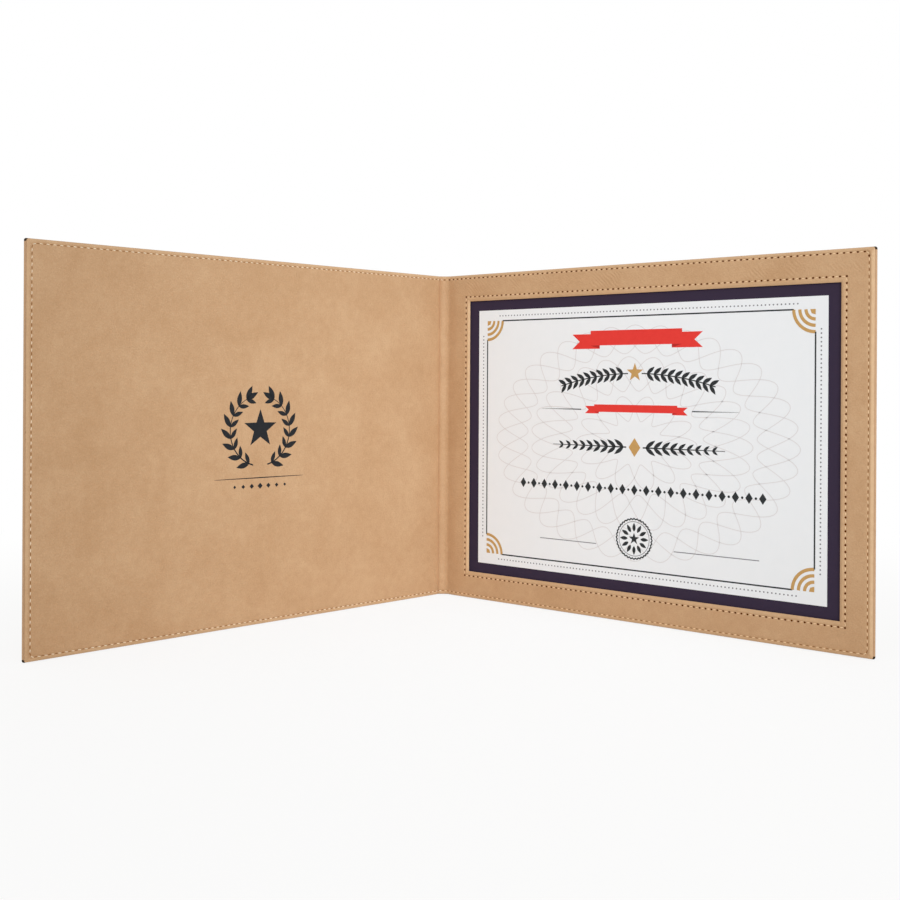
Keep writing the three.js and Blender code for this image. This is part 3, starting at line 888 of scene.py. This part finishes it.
for piece, half in ((front_outside, front), (back_outside, back)):
    piece.data.materials.append(outside_leatherette)
    piece.data.materials.append(raw_edge)
    edge_middle = (thickness(half, COVER_WIDTH) - LINING) / 2
    tips = [Vector(placed(half, COVER_WIDTH - TIP, h, edge_middle, True))
            for h in (TIP, COVER_HEIGHT - TIP)]
    bare = 0
    for face in piece.data.polygons:
        if min((face.center - tip).length for tip in tips) < CORE_REACH * MM:
            face.material_index = 1
            bare += 1
    print(piece.name, "shows its raw edge on", bare, "faces")

# %% [markdown]
# ## Paler edges and creases
# Hands rub every folded edge a little, so it is paler. The frame's fore edge and its hem by the spine are
# much paler: that is painted highlight, where the soft box catches the folds that face it. The head of
# the frame is creased between its seams. A texture can't know where that is, so each point of a sheet
# gets a share of both from its place on the flat cover, and the leatherette material reads them.

# %% Paler edges, by wear and painted highlight, and creases
PALING_FADES, PALING_ENDS = 1.2, 3.0  # mm from a folded edge to where the paling begins to fade, and to its end
LITTLE_RUBBED = 0.45  # share on edges that are seldom touched: wear only, with no painted highlight
CORNER_BLEND = 2.0  # mm at a corner over which a highlit edge passes into one that is only a little worn
SEAM_CLEAR = 3.0  # mm from an edge past which the frame's head is creased, fully at twice that


def write_share(piece, name, share):
    piece.data.attributes.new(name, "FLOAT", "POINT").data.foreach_set("value", share)
    print(piece.name, "is", name, "at", int((share > 0.2).sum()), "of", len(share), "points")


def edge_paling(piece, half, window):
    """Writes on the mesh how much paler each point is, by wear and by painted highlight, and on the frame how
    creased.
    """
    points = np.empty(3 * len(piece.data.vertices))
    piece.data.vertices.foreach_get("co", points)
    points = points.reshape(-1, 3) / MM
    u, h = (points[:, :2] - half["fold"]) @ half["way"], points[:, 2]
    fore, ends = COVER_WIDTH - u, np.minimum(h, COVER_HEIGHT - h)
    edge, highlit = np.minimum(fore, ends), 0 * u
    if window:
        edge = np.minimum(edge, outside_window(u, h))
        # painted highlight: the frame's fore edge and its hem by the spine face the soft box
        lit_fore_edge = np.clip((ends - fore) / CORNER_BLEND, 0, 1) * (fore < PALING_ENDS)
        beside = np.minimum(h - WINDOW["bottom"], WINDOW["top"] - h)
        lit_spine_hem = np.clip(beside / CORNER_BLEND, 0, 1) * (u < WINDOW["left"] + 1)
        highlit = np.maximum(lit_fore_edge, lit_spine_hem)
        in_head = np.minimum(h - WINDOW["top"], COVER_HEIGHT - h)
        write_share(piece, "creased", np.clip((in_head - SEAM_CLEAR) / SEAM_CLEAR, 0, 1))
    t = np.clip((PALING_ENDS - edge) / (PALING_ENDS - PALING_FADES), 0, 1)
    paler_share = LITTLE_RUBBED + (1 - LITTLE_RUBBED) * highlit
    write_share(piece, "worn_and_highlit", t * t * (3 - 2 * t) * paler_share)


for piece, half in ((front_inside, front), (back_inside, back),
                    (front_outside, front), (back_outside, back)):
    edge_paling(piece, half, piece is back_inside)

# %% [markdown]
# ## The sheets and their flat sizes
# Each half lies along the spine on one side and its cover on the other, and bends between them. It stands
# for the CAD solids of its layer, which are hidden. Its flat size is that of the cut piece: the cover,
# half the spine, and what is turned under. From the frame the window's cut-out is missing, inside the hem.

# %% The sheets stand for their layers, and their flat sizes
HALF_SPINE = SPINE_WIDTH / 2 * MM


def across_hinge(piece):
    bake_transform(piece)


flat_cover = COVER_WIDTH * MM + HALF_SPINE
flat_turned = (flat_cover + TURN_UNDER * MM, COVER_HEIGHT * MM + 2 * TURN_UNDER * MM)
cut_width = (WINDOW["right"] - WINDOW["left"] - 2 * WINDOW_HEM) * MM
cut_height = (WINDOW["top"] - WINDOW["bottom"] - 2 * WINDOW_HEM) * MM
frame_area = flat_turned[0] * flat_turned[1] - cut_width * cut_height
sheets = (
    (front_inside, front, (flat_cover, COVER_HEIGHT * MM), None,
     ["front_board", "front_filler", "spine_card"], ["front_lining", "spine_lining", "front_hinge_strip"]),
    (back_inside, back, flat_turned, frame_area,
     ["back_board", "mount_card", "spine_card"], ["window_frame", "spine_lining", "back_hinge_strip"]),
    (front_outside, front, flat_turned, None,
     ["front_board", "spine_card"], ["front_outer_skin", "spine_outer_skin", "front_hinge_strip"]),
    (back_outside, back, flat_turned, None,
     ["back_board", "spine_card"], ["back_outer_skin", "spine_outer_skin", "back_hinge_strip"]),
)
for piece, half, flat, area, under, stands_for in sheets:
    smooth(piece)
    across_hinge(piece)
    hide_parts(*stands_for)
    print(piece.name, "is cut to", [round(x / MM, 1) for x in flat], "mm")

# %% [markdown]
# ## Stitching
# A lockstitch shows as a row of short threads that dive into the needle holes. A curve with a dash
# pattern would lie flat and would not turn the corners as a machine does. So the seam's line is drawn
# first. Along the edges it goes round the corners. Round the window it is four straight runs, because
# the needle turns in a hole at each corner.

# %% Lines of the seams
STITCH_PITCH = 3.85  # mm
LINE_STEP = 0.1  # mm between points of a seam's line
BEND_POINTS = 9  # on the round of a corner


def run_along(corner_points, radius):
    """Even points and headings on a line with round corners, and its length."""
    points = [np.array(p, float) for p in corner_points]
    line = points[:1]
    for before, here, after in zip(points, points[1:], points[2:]):
        come, go = ((b - a) / np.linalg.norm(b - a) for a, b in ((before, here), (here, after)))
        centre = here + (go - come) * radius
        for t in np.linspace(0, math.pi / 2, BEND_POINTS):
            line.append(centre - go * radius * math.cos(t) + come * radius * math.sin(t))
    line = np.array(line + points[-1:])
    total = along(line)[-1]
    even = resampled(line, int(total / LINE_STEP) + 1)
    return even, np.gradient(even, axis=0), total


def edge_seam_line(half, part="all"):
    """The seam up the three edges, or only its run along the head, or what is left without that."""
    start, fore = half["u"][0], COVER_WIDTH - EDGE_SEAM["fore"]
    low, high, corner = EDGE_SEAM["head"], COVER_HEIGHT - EDGE_SEAM["head"], EDGE_SEAM["corner"]
    lower, upper = [(start, low), (fore, low)], [(fore, high), (start, high)]
    turn = [(fore, high - corner)]
    return run_along({"all": lower + upper, "lower": lower + turn, "head": turn + upper}[part], corner)


def window_seam_lines():
    left, right = WINDOW["left"] - WINDOW_SEAM, WINDOW["right"] + WINDOW_SEAM
    low, high = WINDOW["bottom"] - WINDOW_SEAM, WINDOW["top"] + WINDOW_SEAM
    corners = [(left, low), (right, low), (right, high), (left, high)]
    return [run_along([corners[k], corners[(k + 1) % 4]], 0) for k in range(4)]


print("edge seam of a half:", round(edge_seam_line(front)[2]), "mm")

# %% [markdown]
# Each stitch is a small tube that arches between its two holes and leans a little, as a sewing machine
# leaves it, and a flat dimple marks each hole, coloured as the shade inside it: painted shade. Both are
# drawn once, along x, with z up from the face.

# %% One stitch and one hole
STITCH_RADIUS, STITCH_LEAN = 0.25, math.radians(7)  # mm, radians
STITCH_DIVE = 0.34  # mm, how deep the ends of a stitch go
STITCH_TAPER = 0.45  # share of the girth that is lost at the ends
STITCH_STEPS = np.array([-1, -0.8, -0.45, 0, 0.45, 0.8, 1])  # along half its length
STITCH_SIDES, HOLE_SIDES = 7, 9
HOLE_RIM, HOLE_CROWN, HOLE_FLOOR = 0.02, 0.035, -0.1  # mm above the face


def around(count):
    return np.arange(count) / count * 2 * math.pi


def stitch_shape(length, rise):
    """Rings of points along the thread, joined into a tube with closed ends."""
    steps, sides = STITCH_STEPS, STITCH_SIDES
    middle = rise * (1 - np.abs(steps) ** 3) - STITCH_DIVE
    girth = STITCH_RADIUS * (1 - STITCH_TAPER * np.abs(steps) ** 4)
    angle = around(sides)
    y = girth[:, None] * np.cos(angle)
    z = middle[:, None] + girth[:, None] * np.sin(angle)
    x = np.broadcast_to((steps * length / 2)[:, None], y.shape)
    points = np.stack([x, y + math.tan(STITCH_LEAN) * x, z], -1).reshape(-1, 3)
    faces = []
    for ring in range(len(steps) - 1):
        for k in range(sides):
            a, b = ring * sides + k, ring * sides + (k + 1) % sides
            faces.append((a, b, b + sides, a + sides))
    last = (len(steps) - 1) * sides
    return points, faces + [tuple(range(sides))[::-1], tuple(range(last, last + sides))]


def hole_shape(long, wide):
    """A flat dimple: a thin lens with its rim just above the sheet, coloured as painted shade of the hole."""
    n = HOLE_SIDES
    angle = around(n)
    rim = np.stack([long * np.cos(angle), wide * np.sin(angle), np.full(n, HOLE_RIM)], -1)
    faces = []
    for k in range(n):
        after = (k + 1) % n
        faces += [(k, after, n), (after, k, n + 1)]
    return np.vstack([rim, [(0, 0, HOLE_CROWN), (0, 0, HOLE_FLOOR)]]), faces


print("points of a stitch and a hole:", [len(shape(1, 1)[0]) for shape in (stitch_shape, hole_shape)])

# %% [markdown]
# All stitches of a seam are one mesh, drawn flat along the seam's line and placed with the sheet. A hole
# follows the face below it, while a stitch stays straight over the valley.

# %% Sewing a seam
def sewn(name, half, lines, shape, at_holes, level, outside=False):
    """Repeats a shape along the runs of a seam. level gives the depth of the face at a point."""
    points, faces = shape
    all_points, all_faces = [], []
    for even, heading, total in lines:
        count = round(total / STITCH_PITCH)
        reach = np.linspace(0, total, len(even))
        last_hole = 1 if at_holes and len(lines) == 1 else 0
        for k in range(count + last_hole):
            wanted = (k + (0 if at_holes else 0.5)) * total / count
            centre = [np.interp(wanted, reach, even[:, i]) for i in (0, 1)]
            way = np.array([np.interp(wanted, reach, heading[:, i]) for i in (0, 1)])
            way /= np.linalg.norm(way)
            u = centre[0] + points[:, 0] * way[0] - points[:, 1] * way[1]
            h = centre[1] + points[:, 0] * way[1] + points[:, 1] * way[0]
            depth = level(u, h) if at_holes else level(*centre)
            all_faces += [tuple(i + len(points) * len(all_points) for i in face) for face in faces]
            all_points.append(placed(half, u, h, depth - points[:, 2], outside))
    piece = new_piece(name, all_points, all_faces)
    smooth(piece, 60)
    return piece


print("stitches in the window's seam:", sum(round(run[2] / STITCH_PITCH) for run in window_seam_lines()))

# %% [markdown]
# There are three kinds of seam. On the lining and outside, the stitches lie loose and cream. Through the
# frame's hem they lie loose too, in the darker thread that is painted shade. Along the frame's head and
# round the window the thread is drawn tight: it sinks in, it takes the same painted shade, and its holes
# are round, with a darker painted shade in them.

# %% The seams that show
LOOSE, TIGHT = (1.95, 0.46), (2.3, 0.3)  # mm, length of a stitch and its rise
SLIT, PRICK = (0.95, 0.3), (0.66, 0.6)  # mm, half length and half width of a hole

# the frame's darker thread and every hole colour here are painted shade
sewing = {
    "loose": (LOOSE, SLIT, spun_thread, needle_hole_shade),
    "through hem": (LOOSE, SLIT, shaded_thread, needle_hole_shade),
    "drawn tight": (TIGHT, PRICK, shaded_thread, deep_hole_shade),
}
seams = (
    ("front_edge", front, [edge_seam_line(front)], "loose", False, "front_edge_stitching"),
    ("back_edge", back, [edge_seam_line(back, "lower")], "through hem", False, "back_edge_stitching"),
    ("back_head", back, [edge_seam_line(back, "head")], "drawn tight", False, "back_edge_stitching"),
    ("window", back, window_seam_lines(), "drawn tight", False, "window_stitching"),
    ("front_outside", front, [edge_seam_line(front)], "loose", True, "front_bobbin_thread"),
    ("back_outside", back, [edge_seam_line(back)], "loose", True, "back_bobbin_thread"),
)
for name, half, lines, kind, outside, node in seams:
    stitch, hole, thread, dark = sewing[kind]
    with_window = half is back and not outside

    def face_level(u, h):
        return relief(u, h, with_window)

    stitches = sewn(name + "_stitches", half, lines, stitch_shape(*stitch), False, face_level, outside)
    stitches.data.materials.append(thread)
    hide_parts(node)
    # the holes' colour is painted shade, the shade inside each needle hole
    holes = sewn(name + "_needle_holes", half, lines, hole_shape(*hole), True, face_level, outside)
    holes.data.materials.append(dark)
    for piece in (stitches, holes):
        if name == "window":
            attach(piece, "back_cover")
        else:
            across_hinge(piece)

# %% [markdown]
# The window seam has an under thread too, below the hem and out of sight. It is the same stitch, upside
# down. It is made all the same, because the frame lifts off the card when a sheet is changed.

# %% Under thread of the window seam
HEM_UNDERSIDE = 2 * LINING + HEM_GAP  # mm below the frame's face
SUNK_IN = 0.1  # mm that the thread is drawn into the hem

stitch_points, stitch_faces = stitch_shape(*TIGHT)
upside_down = (stitch_points * np.array([1, 1, -1]), stitch_faces)
under_thread = sewn("window_under_stitches", back, window_seam_lines(), upside_down, False,
                    lambda u, h: HEM_UNDERSIDE - SUNK_IN)
under_thread.data.materials.append(spun_thread)
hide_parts("window_bobbin_thread")
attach(under_thread, "back_cover")

# %% [markdown]
# ## Flat marks: engraving and print
# Both are thin layers: a laser burns the coat off down to the black core, and ink lies on paper. They
# could be image textures, but a shape drawn in millimetres stays sharp at any size. Each mark is a
# filled outline or a stroke, raised into a very thin closed plate on the sheet it lies on. The marks
# are common ornaments (laurel, star, ribbon, rules), and every place for words is left blank.

# %% Outlines and strokes
def outline(points):
    """A filled outline as a plate: its points, which the top repeats, and its faces."""
    points = np.array(points, float)
    n = len(points)
    sides = [(i, (i + 1) % n, n + (i + 1) % n, n + i) for i in range(n)]
    return points, [tuple(range(n))[::-1], tuple(range(n, 2 * n))] + sides


def stroke(points, width, closed=False):
    """A line of even or changing width as a plate, its left side first and then its right."""
    points = np.array(points, float)
    way = np.roll(points, -1, 0) - np.roll(points, 1, 0) if closed else np.gradient(points, axis=0)
    way /= np.linalg.norm(way, axis=1, keepdims=True)
    side = np.stack([-way[:, 1], way[:, 0]], 1) * np.broadcast_to(width, len(points))[:, None] / 2
    n = len(points)
    a, b, c, d = 0, n, 2 * n, 3 * n
    faces = []
    for i in range(n if closed else n - 1):
        j = (i + 1) % n
        faces += [(a + i, b + i, b + j, a + j), (c + i, c + j, d + j, d + i),
                  (a + i, a + j, c + j, c + i), (b + i, d + i, d + j, b + j)]
    if not closed:
        faces += [(a, c, d, b), (a + n - 1, b + n - 1, d + n - 1, c + n - 1)]
    return np.vstack([points + side, points - side]), faces


def marks(name, half, drawn, depth, height, material):
    """Raises drawn marks from depth, below the face, up by height."""
    points, faces, count = [], [], 0
    for flat, plate in drawn:
        u, h = flat[:, 0], flat[:, 1]
        points += [placed(half, u, h, depth(u, h) - rise) for rise in (0, height)]
        faces += [tuple(count + i for i in face) for face in plate]
        count += 2 * len(flat)
    piece = new_piece(name, points, faces)
    piece.data.materials.append(material)
    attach(piece, half["body"])
    return piece


print("faces of a square plate:", len(outline([(0, 0), (1, 0), (1, 1), (0, 1)])[1]))

# %% [markdown]
# Circles, stars, leaves and lozenges come again and again in such ornaments, so each has a function.

# %% Shapes of the ornaments
def unit(angle):
    return np.stack([np.cos(angle), np.sin(angle)], -1)


def circle(centre, radius, count=48):
    return np.array(centre) + radius * unit(around(count))


def scalloped(centre, radius, depth, lobes, count=144):
    t = around(count)
    return centre + unit(t) * (radius + depth * np.cos(lobes * t))[:, None]


def star(centre, radius, inner=0.4, points=5):
    t = np.arange(2 * points) / points * math.pi + math.pi / 2
    reach = np.where(np.arange(2 * points) % 2 == 0, radius, radius * inner)
    return np.array(centre) + unit(t) * reach[:, None]


def leaf(root, angle, length, width):
    """A laurel leaf from its root, widest a little before its middle."""
    t = np.linspace(0, 1, 9)
    bulge = width / 2 * np.sin(math.pi * t**0.85)
    shape = np.vstack([np.stack([t * length, bulge], 1), np.stack([t * length, -bulge], 1)[-2:0:-1]])
    return np.array(root) + np.array([turned(p, angle) for p in shape])


def lozenge(u, h, reach_u, reach_h):
    return outline([(u + reach_u, h), (u, h + reach_h), (u - reach_u, h), (u, h - reach_h)])


print("corners of a star and a leaf:", len(star((0, 0), 1)), len(leaf((0, 0), 0, 1, 1)))

# %% [markdown]
# ## The emblem
# Such covers are marked by laser, in the middle of the front half. The emblem is a laurel wreath round a
# star, above a tapering rule and a row of lozenges, about 62 mm wide. Curve objects could draw it, but
# they would have to be turned into plates all the same, and a leaf needs no more than sixteen corners.

# %% Laurel wreath
EMBLEM_AT = (154.6, 121.5)  # mm
WREATH, LEAVES = 22.0, 8  # mm, radius of the wreath, and pairs of leaves on each branch
WREATH_FROM, WREATH_TO = -76, 62  # degrees from the horizontal
LEAF_LONG, LEAF_WIDE = 9.6, 3.5  # mm
LEAF_PAIR = ((0.62, 1.0), (-0.8, 0.8))  # radians off the stem, outer and inner leaf, and their size
STEM_TAPER = (0.26, 0.12)  # width of the stem at both ends, as a share of a leaf's width


def laurel(side):
    """One branch of the wreath, on the right (1) or left (-1)."""
    def at(angle):
        return np.array(EMBLEM_AT) + WREATH * unit(angle) * np.array([side, 1])

    def leaf_at(angle, spread, size):
        way = angle + math.pi / 2 - spread
        way = way if side == 1 else math.pi - way
        return outline(leaf(at(angle), way, LEAF_LONG * size, LEAF_WIDE * size))

    stem = at(np.radians(np.linspace(WREATH_FROM, WREATH_TO, 40)))
    drawn = [stroke(stem, np.linspace(*STEM_TAPER, 40) * LEAF_WIDE)]
    for angle in np.radians(np.linspace(WREATH_FROM + 8, WREATH_TO, LEAVES)):
        drawn += [leaf_at(angle, spread, size) for spread, size in LEAF_PAIR]
    return drawn + [leaf_at(math.radians(WREATH_TO), 0, 1)]


emblem = laurel(1) + laurel(-1)
print("marks of the wreath:", len(emblem))

# %% Engraved emblem
EMBLEM_STAR, STAR_RISE = 12.5, 1.0  # mm
RULE_HALF, RULE_DROP = 33, 29.5  # mm, half its length, and how far below the middle it lies
RULE_THIN, RULE_THICK = 0.1, 0.55  # mm, width at its ends, and what is added in the middle
ROW_ENDS, ROW_PITCH, ROW_DROP = 3, 6.2, 34.6  # lozenges on each side, mm apart, mm below the middle
ROW_LOZENGE, ROW_SHRINK = 1.9, 0.28  # mm, of the middle one, and less for each one further out
ENGRAVED_FROM, ENGRAVED = 0.05, 0.075  # mm below the face, and mm up from there

emblem.append(outline(star((EMBLEM_AT[0], EMBLEM_AT[1] + STAR_RISE), EMBLEM_STAR)))
rule_u = np.linspace(-RULE_HALF, RULE_HALF, 41)
rule = np.stack([EMBLEM_AT[0] + rule_u, np.full(41, EMBLEM_AT[1] - RULE_DROP)], 1)
emblem.append(stroke(rule, RULE_THIN + RULE_THICK * (1 - np.abs(rule_u) / RULE_HALF) ** 0.5))
for k in range(-ROW_ENDS, ROW_ENDS + 1):
    reach = ROW_LOZENGE - ROW_SHRINK * abs(k)
    emblem.append(lozenge(EMBLEM_AT[0] + ROW_PITCH * k, EMBLEM_AT[1] - ROW_DROP, reach, reach))
marks("engraved_emblem", front, emblem, lambda u, h: lie(u, h) + ENGRAVED_FROM, ENGRAVED, black_core)

# %% [markdown]
# ## The certificate's print
# The certificate has a dark rule with fans in its corners, a dotted line outside it, two ribbons, an
# arched and a straight leaf spray, a band of lozenges, blank rules for writing on, a rosette seal, and a
# pale line rosette behind everything. The colours are those of common award stationery. All marks of
# one ink are collected in a list and become one piece, as a press prints one ink at a time.

# %% Certificate: border
MARGIN_SIDE, MARGIN_HEAD = 7.6, 7.0  # mm of mount card that shows round the page
PAGE = {"left": WINDOW["left"] + MARGIN_SIDE, "right": WINDOW["right"] - MARGIN_SIDE,
        "bottom": WINDOW["bottom"] + MARGIN_HEAD, "top": WINDOW["top"] - MARGIN_HEAD}
PAGE_MIDDLE = ((PAGE["left"] + PAGE["right"]) / 2, (PAGE["bottom"] + PAGE["top"]) / 2)
BORDER_INSET, DOT_INSET = 7.4, 4.0  # mm in from the page's edge
BORDER_LINE, DOT, DOT_PITCH, DOT_FROM = 0.9, 0.5, 2.45, 14  # mm
FAN, FAN_LINE = 13.0, 1.9  # mm, reach of a corner fan and width of its lines
FAN_ARCS = (1, 0.72, 0.44)  # shares of the fan's reach
CORNER_PIECE = np.array([(0, 0), (3.2, 0), (2.4, 2.4), (0, 3.2)])  # mm

black, gold, red, dark_red, grey, pale = [], [], [], [], [], []


def page_loop(inset):
    left, right = PAGE["left"] + inset, PAGE["right"] - inset
    low, high = PAGE["bottom"] + inset, PAGE["top"] - inset
    return np.array([(left, low), (right, low), (right, high), (left, high)])


corners_at, dots_at = page_loop(BORDER_INSET), page_loop(DOT_INSET)
for k in range(4):
    a, b = corners_at[k], corners_at[(k + 1) % 4]
    way = (b - a) / np.linalg.norm(b - a)
    black.append(stroke([a + way * FAN, b - way * FAN], BORDER_LINE))
    length = np.linalg.norm(dots_at[(k + 1) % 4] - dots_at[k])
    for reach in np.arange(DOT_FROM, length - DOT_FROM + 0.1, DOT_PITCH):
        grey.append(outline(circle(dots_at[k] + way * reach, DOT, 8)))
    inward = np.sign(np.array(PAGE_MIDDLE) - a)
    for share in FAN_ARCS:
        arc = FAN * share * unit(np.linspace(0, math.pi / 2, 17))
        gold.append(stroke(a + inward * arc, FAN_LINE))
    gold.append(outline(a + inward * CORNER_PIECE))
print("border marks:", len(black) + len(grey) + len(gold))

# %% Certificate: ribbons
MID_U = PAGE_MIDDLE[0]
RIBBONS = (  # mm below the page's head, half width, half height, and length of the tails
    (21, 33, 4.8, 14), (66.5, 30, 2.4, 7))
TAIL_DROP = 0.45  # share of the half height by which the tails hang lower
TAIL_BEHIND, NOTCH = 0.5, 0.4  # shares of a tail's length, behind the band and in the notch


def ribbon(height, half_width, half_height, tail):
    """A straight band, its two notched tails behind it, and the shaded folds between them."""
    def drawn(side, corners):
        return outline([(MID_U + side * x, height + y) for x, y in corners])

    faces = [drawn(1, [(-half_width, -half_height), (half_width, -half_height),
                       (half_width, half_height), (-half_width, half_height)])]
    shades = []
    inner, outer = half_width - tail * TAIL_BEHIND, half_width + tail
    low, high = -half_height - half_height * TAIL_DROP, half_height - half_height * TAIL_DROP
    for side in (1, -1):
        faces.append(drawn(side, [
            (inner, low), (outer, low), (outer - tail * NOTCH, (low + high) / 2), (outer, high),
            (half_width, high), (half_width, -half_height), (inner, -half_height)]))
        shades.append(drawn(side, [(inner, low), (half_width, -half_height), (inner, -half_height)]))
    return faces, shades


for below, *size in RIBBONS:
    faces, shades = ribbon(PAGE["top"] - below, *size)
    red += faces
    dark_red += shades
print("ribbon marks:", len(red), "and", len(dark_red), "shades")

# %% Certificate: sprays
ARCH_RADIUS, ARCH_DROP = 190.0, 234.0  # mm, and mm from the page's head down to the middle of the arch
ARCH_STEM, ARCH_LEAVES, ARCH_PAIRS = (1.5, 17), (2.6, 15.8), 10  # degrees from the middle, count
ARCH_LEAF, ARCH_SPREAD, ARCH_LINE = (7.0, 2.5), 0.72, 0.7  # mm long and wide, radians off the stem, mm
ARCH_STAR, ARCH_STAR_RISE = 6.2, 0.5  # mm
SPRAY_AT, SPRAY_LOZENGE = 111.5, (4.2, 6.0)  # mm above the tail, mm
SPRAY_STEM, SPRAY_LINE = (6, 62), (0.9, 0.4)  # mm from the middle, mm wide at both ends
SPRAY_FIRST, SPRAY_PITCH, SPRAY_PAIRS, SPRAY_SPREAD = 8, 5.7, 9, 0.62  # mm, mm, count, radians
SPRAY_LEAF, SPRAY_SHRINK = np.array([8.4, 2.6]), np.array([0.5, 0.13])  # mm, and less for each pair

arch_middle = np.array([MID_U, PAGE["top"] - ARCH_DROP])
gold.append(outline(star(arch_middle + np.array([0, ARCH_RADIUS + ARCH_STAR_RISE]), ARCH_STAR)))
gold.append(lozenge(MID_U, SPRAY_AT, *SPRAY_LOZENGE))
for side in (1, -1):
    for angle in np.linspace(*ARCH_LEAVES, ARCH_PAIRS):
        t = math.radians(90 - side * angle)
        for spread in (ARCH_SPREAD, -ARCH_SPREAD):
            way = t - side * math.pi / 2 + spread
            black.append(outline(leaf(arch_middle + ARCH_RADIUS * unit(t), way, *ARCH_LEAF)))
    t = np.radians(90 - side * np.linspace(*ARCH_STEM, 30))
    black.append(stroke(arch_middle + ARCH_RADIUS * unit(t), ARCH_LINE))
    black.append(stroke([(MID_U + side * x, SPRAY_AT) for x in SPRAY_STEM], SPRAY_LINE))
    for k in range(SPRAY_PAIRS):
        root = (MID_U + side * (SPRAY_FIRST + SPRAY_PITCH * k), SPRAY_AT)
        for spread in (SPRAY_SPREAD, -SPRAY_SPREAD):
            way = spread if side == 1 else math.pi - spread
            black.append(outline(leaf(root, way, *(SPRAY_LEAF - SPRAY_SHRINK * k))))
print("black and gold marks:", len(black), len(gold))

# %% Certificate: rules and lozenge band
SIDE_RULE_DROP = 67.5  # mm below the page's head, beside the slim ribbon
SIDE_RULE, SIDE_RULE_LINE = (40, 71), (0.75, 0.1)  # mm from the middle, mm wide at both ends
BAND_AT, BAND_PITCH, BAND_ENDS = 84.5, 8.6, 10  # mm, mm, and lozenges on each side of the middle one
BAND_LOZENGE, BAND_DOT = (2.3, 3.4), 0.8  # mm
WRITING_AT, WRITING_LINES = 48.0, ((-72, -28), (28, 84))  # mm above the tail, mm from the middle
WRITING_WIDTH = 0.55  # mm

for side in (1, -1):
    reach = np.linspace(*SIDE_RULE, 12)
    rule = np.stack([MID_U + side * reach, np.full(12, PAGE["top"] - SIDE_RULE_DROP)], 1)
    black.append(stroke(rule, np.linspace(*SIDE_RULE_LINE, 12)))
for k in range(-BAND_ENDS, BAND_ENDS + 1):
    black.append(lozenge(MID_U + BAND_PITCH * k, BAND_AT, *BAND_LOZENGE))
    if k < BAND_ENDS:
        black.append(outline(circle((MID_U + BAND_PITCH * (k + 0.5), BAND_AT), BAND_DOT, 12)))
for from_u, to_u in WRITING_LINES:
    grey.append(stroke([(MID_U + from_u, WRITING_AT), (MID_U + to_u, WRITING_AT)], WRITING_WIDTH))
print("black and grey marks:", len(black), len(grey))

# %% Certificate: seal and pale rosette
SEAL_AT, SEAL, SEAL_STAR = np.array([MID_U, 53.5]), 12.6, 3.9  # mm
SCALLOPS, SCALLOP, SEAL_LINE = 36, 0.35, 0.9  # count, mm deep, mm wide
RING_INSET, RING_LINE = 1.7, 0.4  # mm
SEAL_LEAVES, SEAL_LEAF, SEAL_LEAF_FROM = 12, (5.6, 2.3), 4.6  # count, mm long and wide, mm out
ROSETTE = ((3, 66, 9, 12), (3, 44, 11, 9), (2, 22, 8, 7))  # loops, mm radius, mm depth, lobes
ROSETTE_WIDE = np.array([1.45, 1])  # the page is wider than high, and so is the rosette
ROSETTE_LINE = 0.55  # mm

black.append(stroke(scalloped(SEAL_AT, SEAL, SCALLOP, SCALLOPS), SEAL_LINE, True))
grey.append(stroke(circle(SEAL_AT, SEAL - RING_INSET, 72), RING_LINE, True))
for angle in around(SEAL_LEAVES):
    root = SEAL_AT + turned(np.array([SEAL_LEAF_FROM, 0]), angle)
    black.append(outline(leaf(root, angle, *SEAL_LEAF)))
black.append(outline(star(SEAL_AT, SEAL_STAR)))
for count, radius, depth, lobes in ROSETTE:
    loop = scalloped(np.zeros(2), radius, depth, lobes, 288)
    for k in range(count):
        rotated = np.array([turned(p, k * 2 * math.pi / lobes / count) for p in loop])
        pale.append(stroke(np.array(PAGE_MIDDLE) + rotated * ROSETTE_WIDE, ROSETTE_LINE, True))
print("pale loops:", len(pale))

# %% [markdown]
# The inks are printed in layers. Each layer starts where the one below it ends, so no two plates lie in
# the same plane.

# %% Printing
PAPER_FACE = BACK_DEPTH - 2.4  # mm below the frame's face
INK = 0.02  # mm


def printed(name, drawn, material, layer):
    marks(name, back, drawn, lambda u, h: np.full_like(u, PAPER_FACE - INK * (layer - 1)), INK, material)


printed("certificate_pale_rosette", pale, pale_ink, 1)
printed("certificate_black_print", black, black_ink, 2)
printed("certificate_grey_print", grey, grey_ink, 2)
printed("certificate_gold_print", gold, gold_ink, 2)
printed("certificate_red_print", red, red_ink, 2)
printed("certificate_red_shade", dark_red, dark_red_ink, 3)

# %% [markdown]
# ## What stays from the CAD model
# Boards, filler, mount card and certificate are stiff flat sheets, and their CAD shapes are right, so
# they only take materials.

# %% Materials of the CAD pieces
finish = {"greyboard": greyboard, "mount_card": dyed_card, "certificate_paper": smooth_paper,
          "thread": spun_thread, "leatherette": inside_leatherette}
for part in frame["record"]["subparts"]:
    data = frame["nodes"][part["node"]].data
    data.materials.clear()
    data.materials.append(finish[part["material_slot"]])
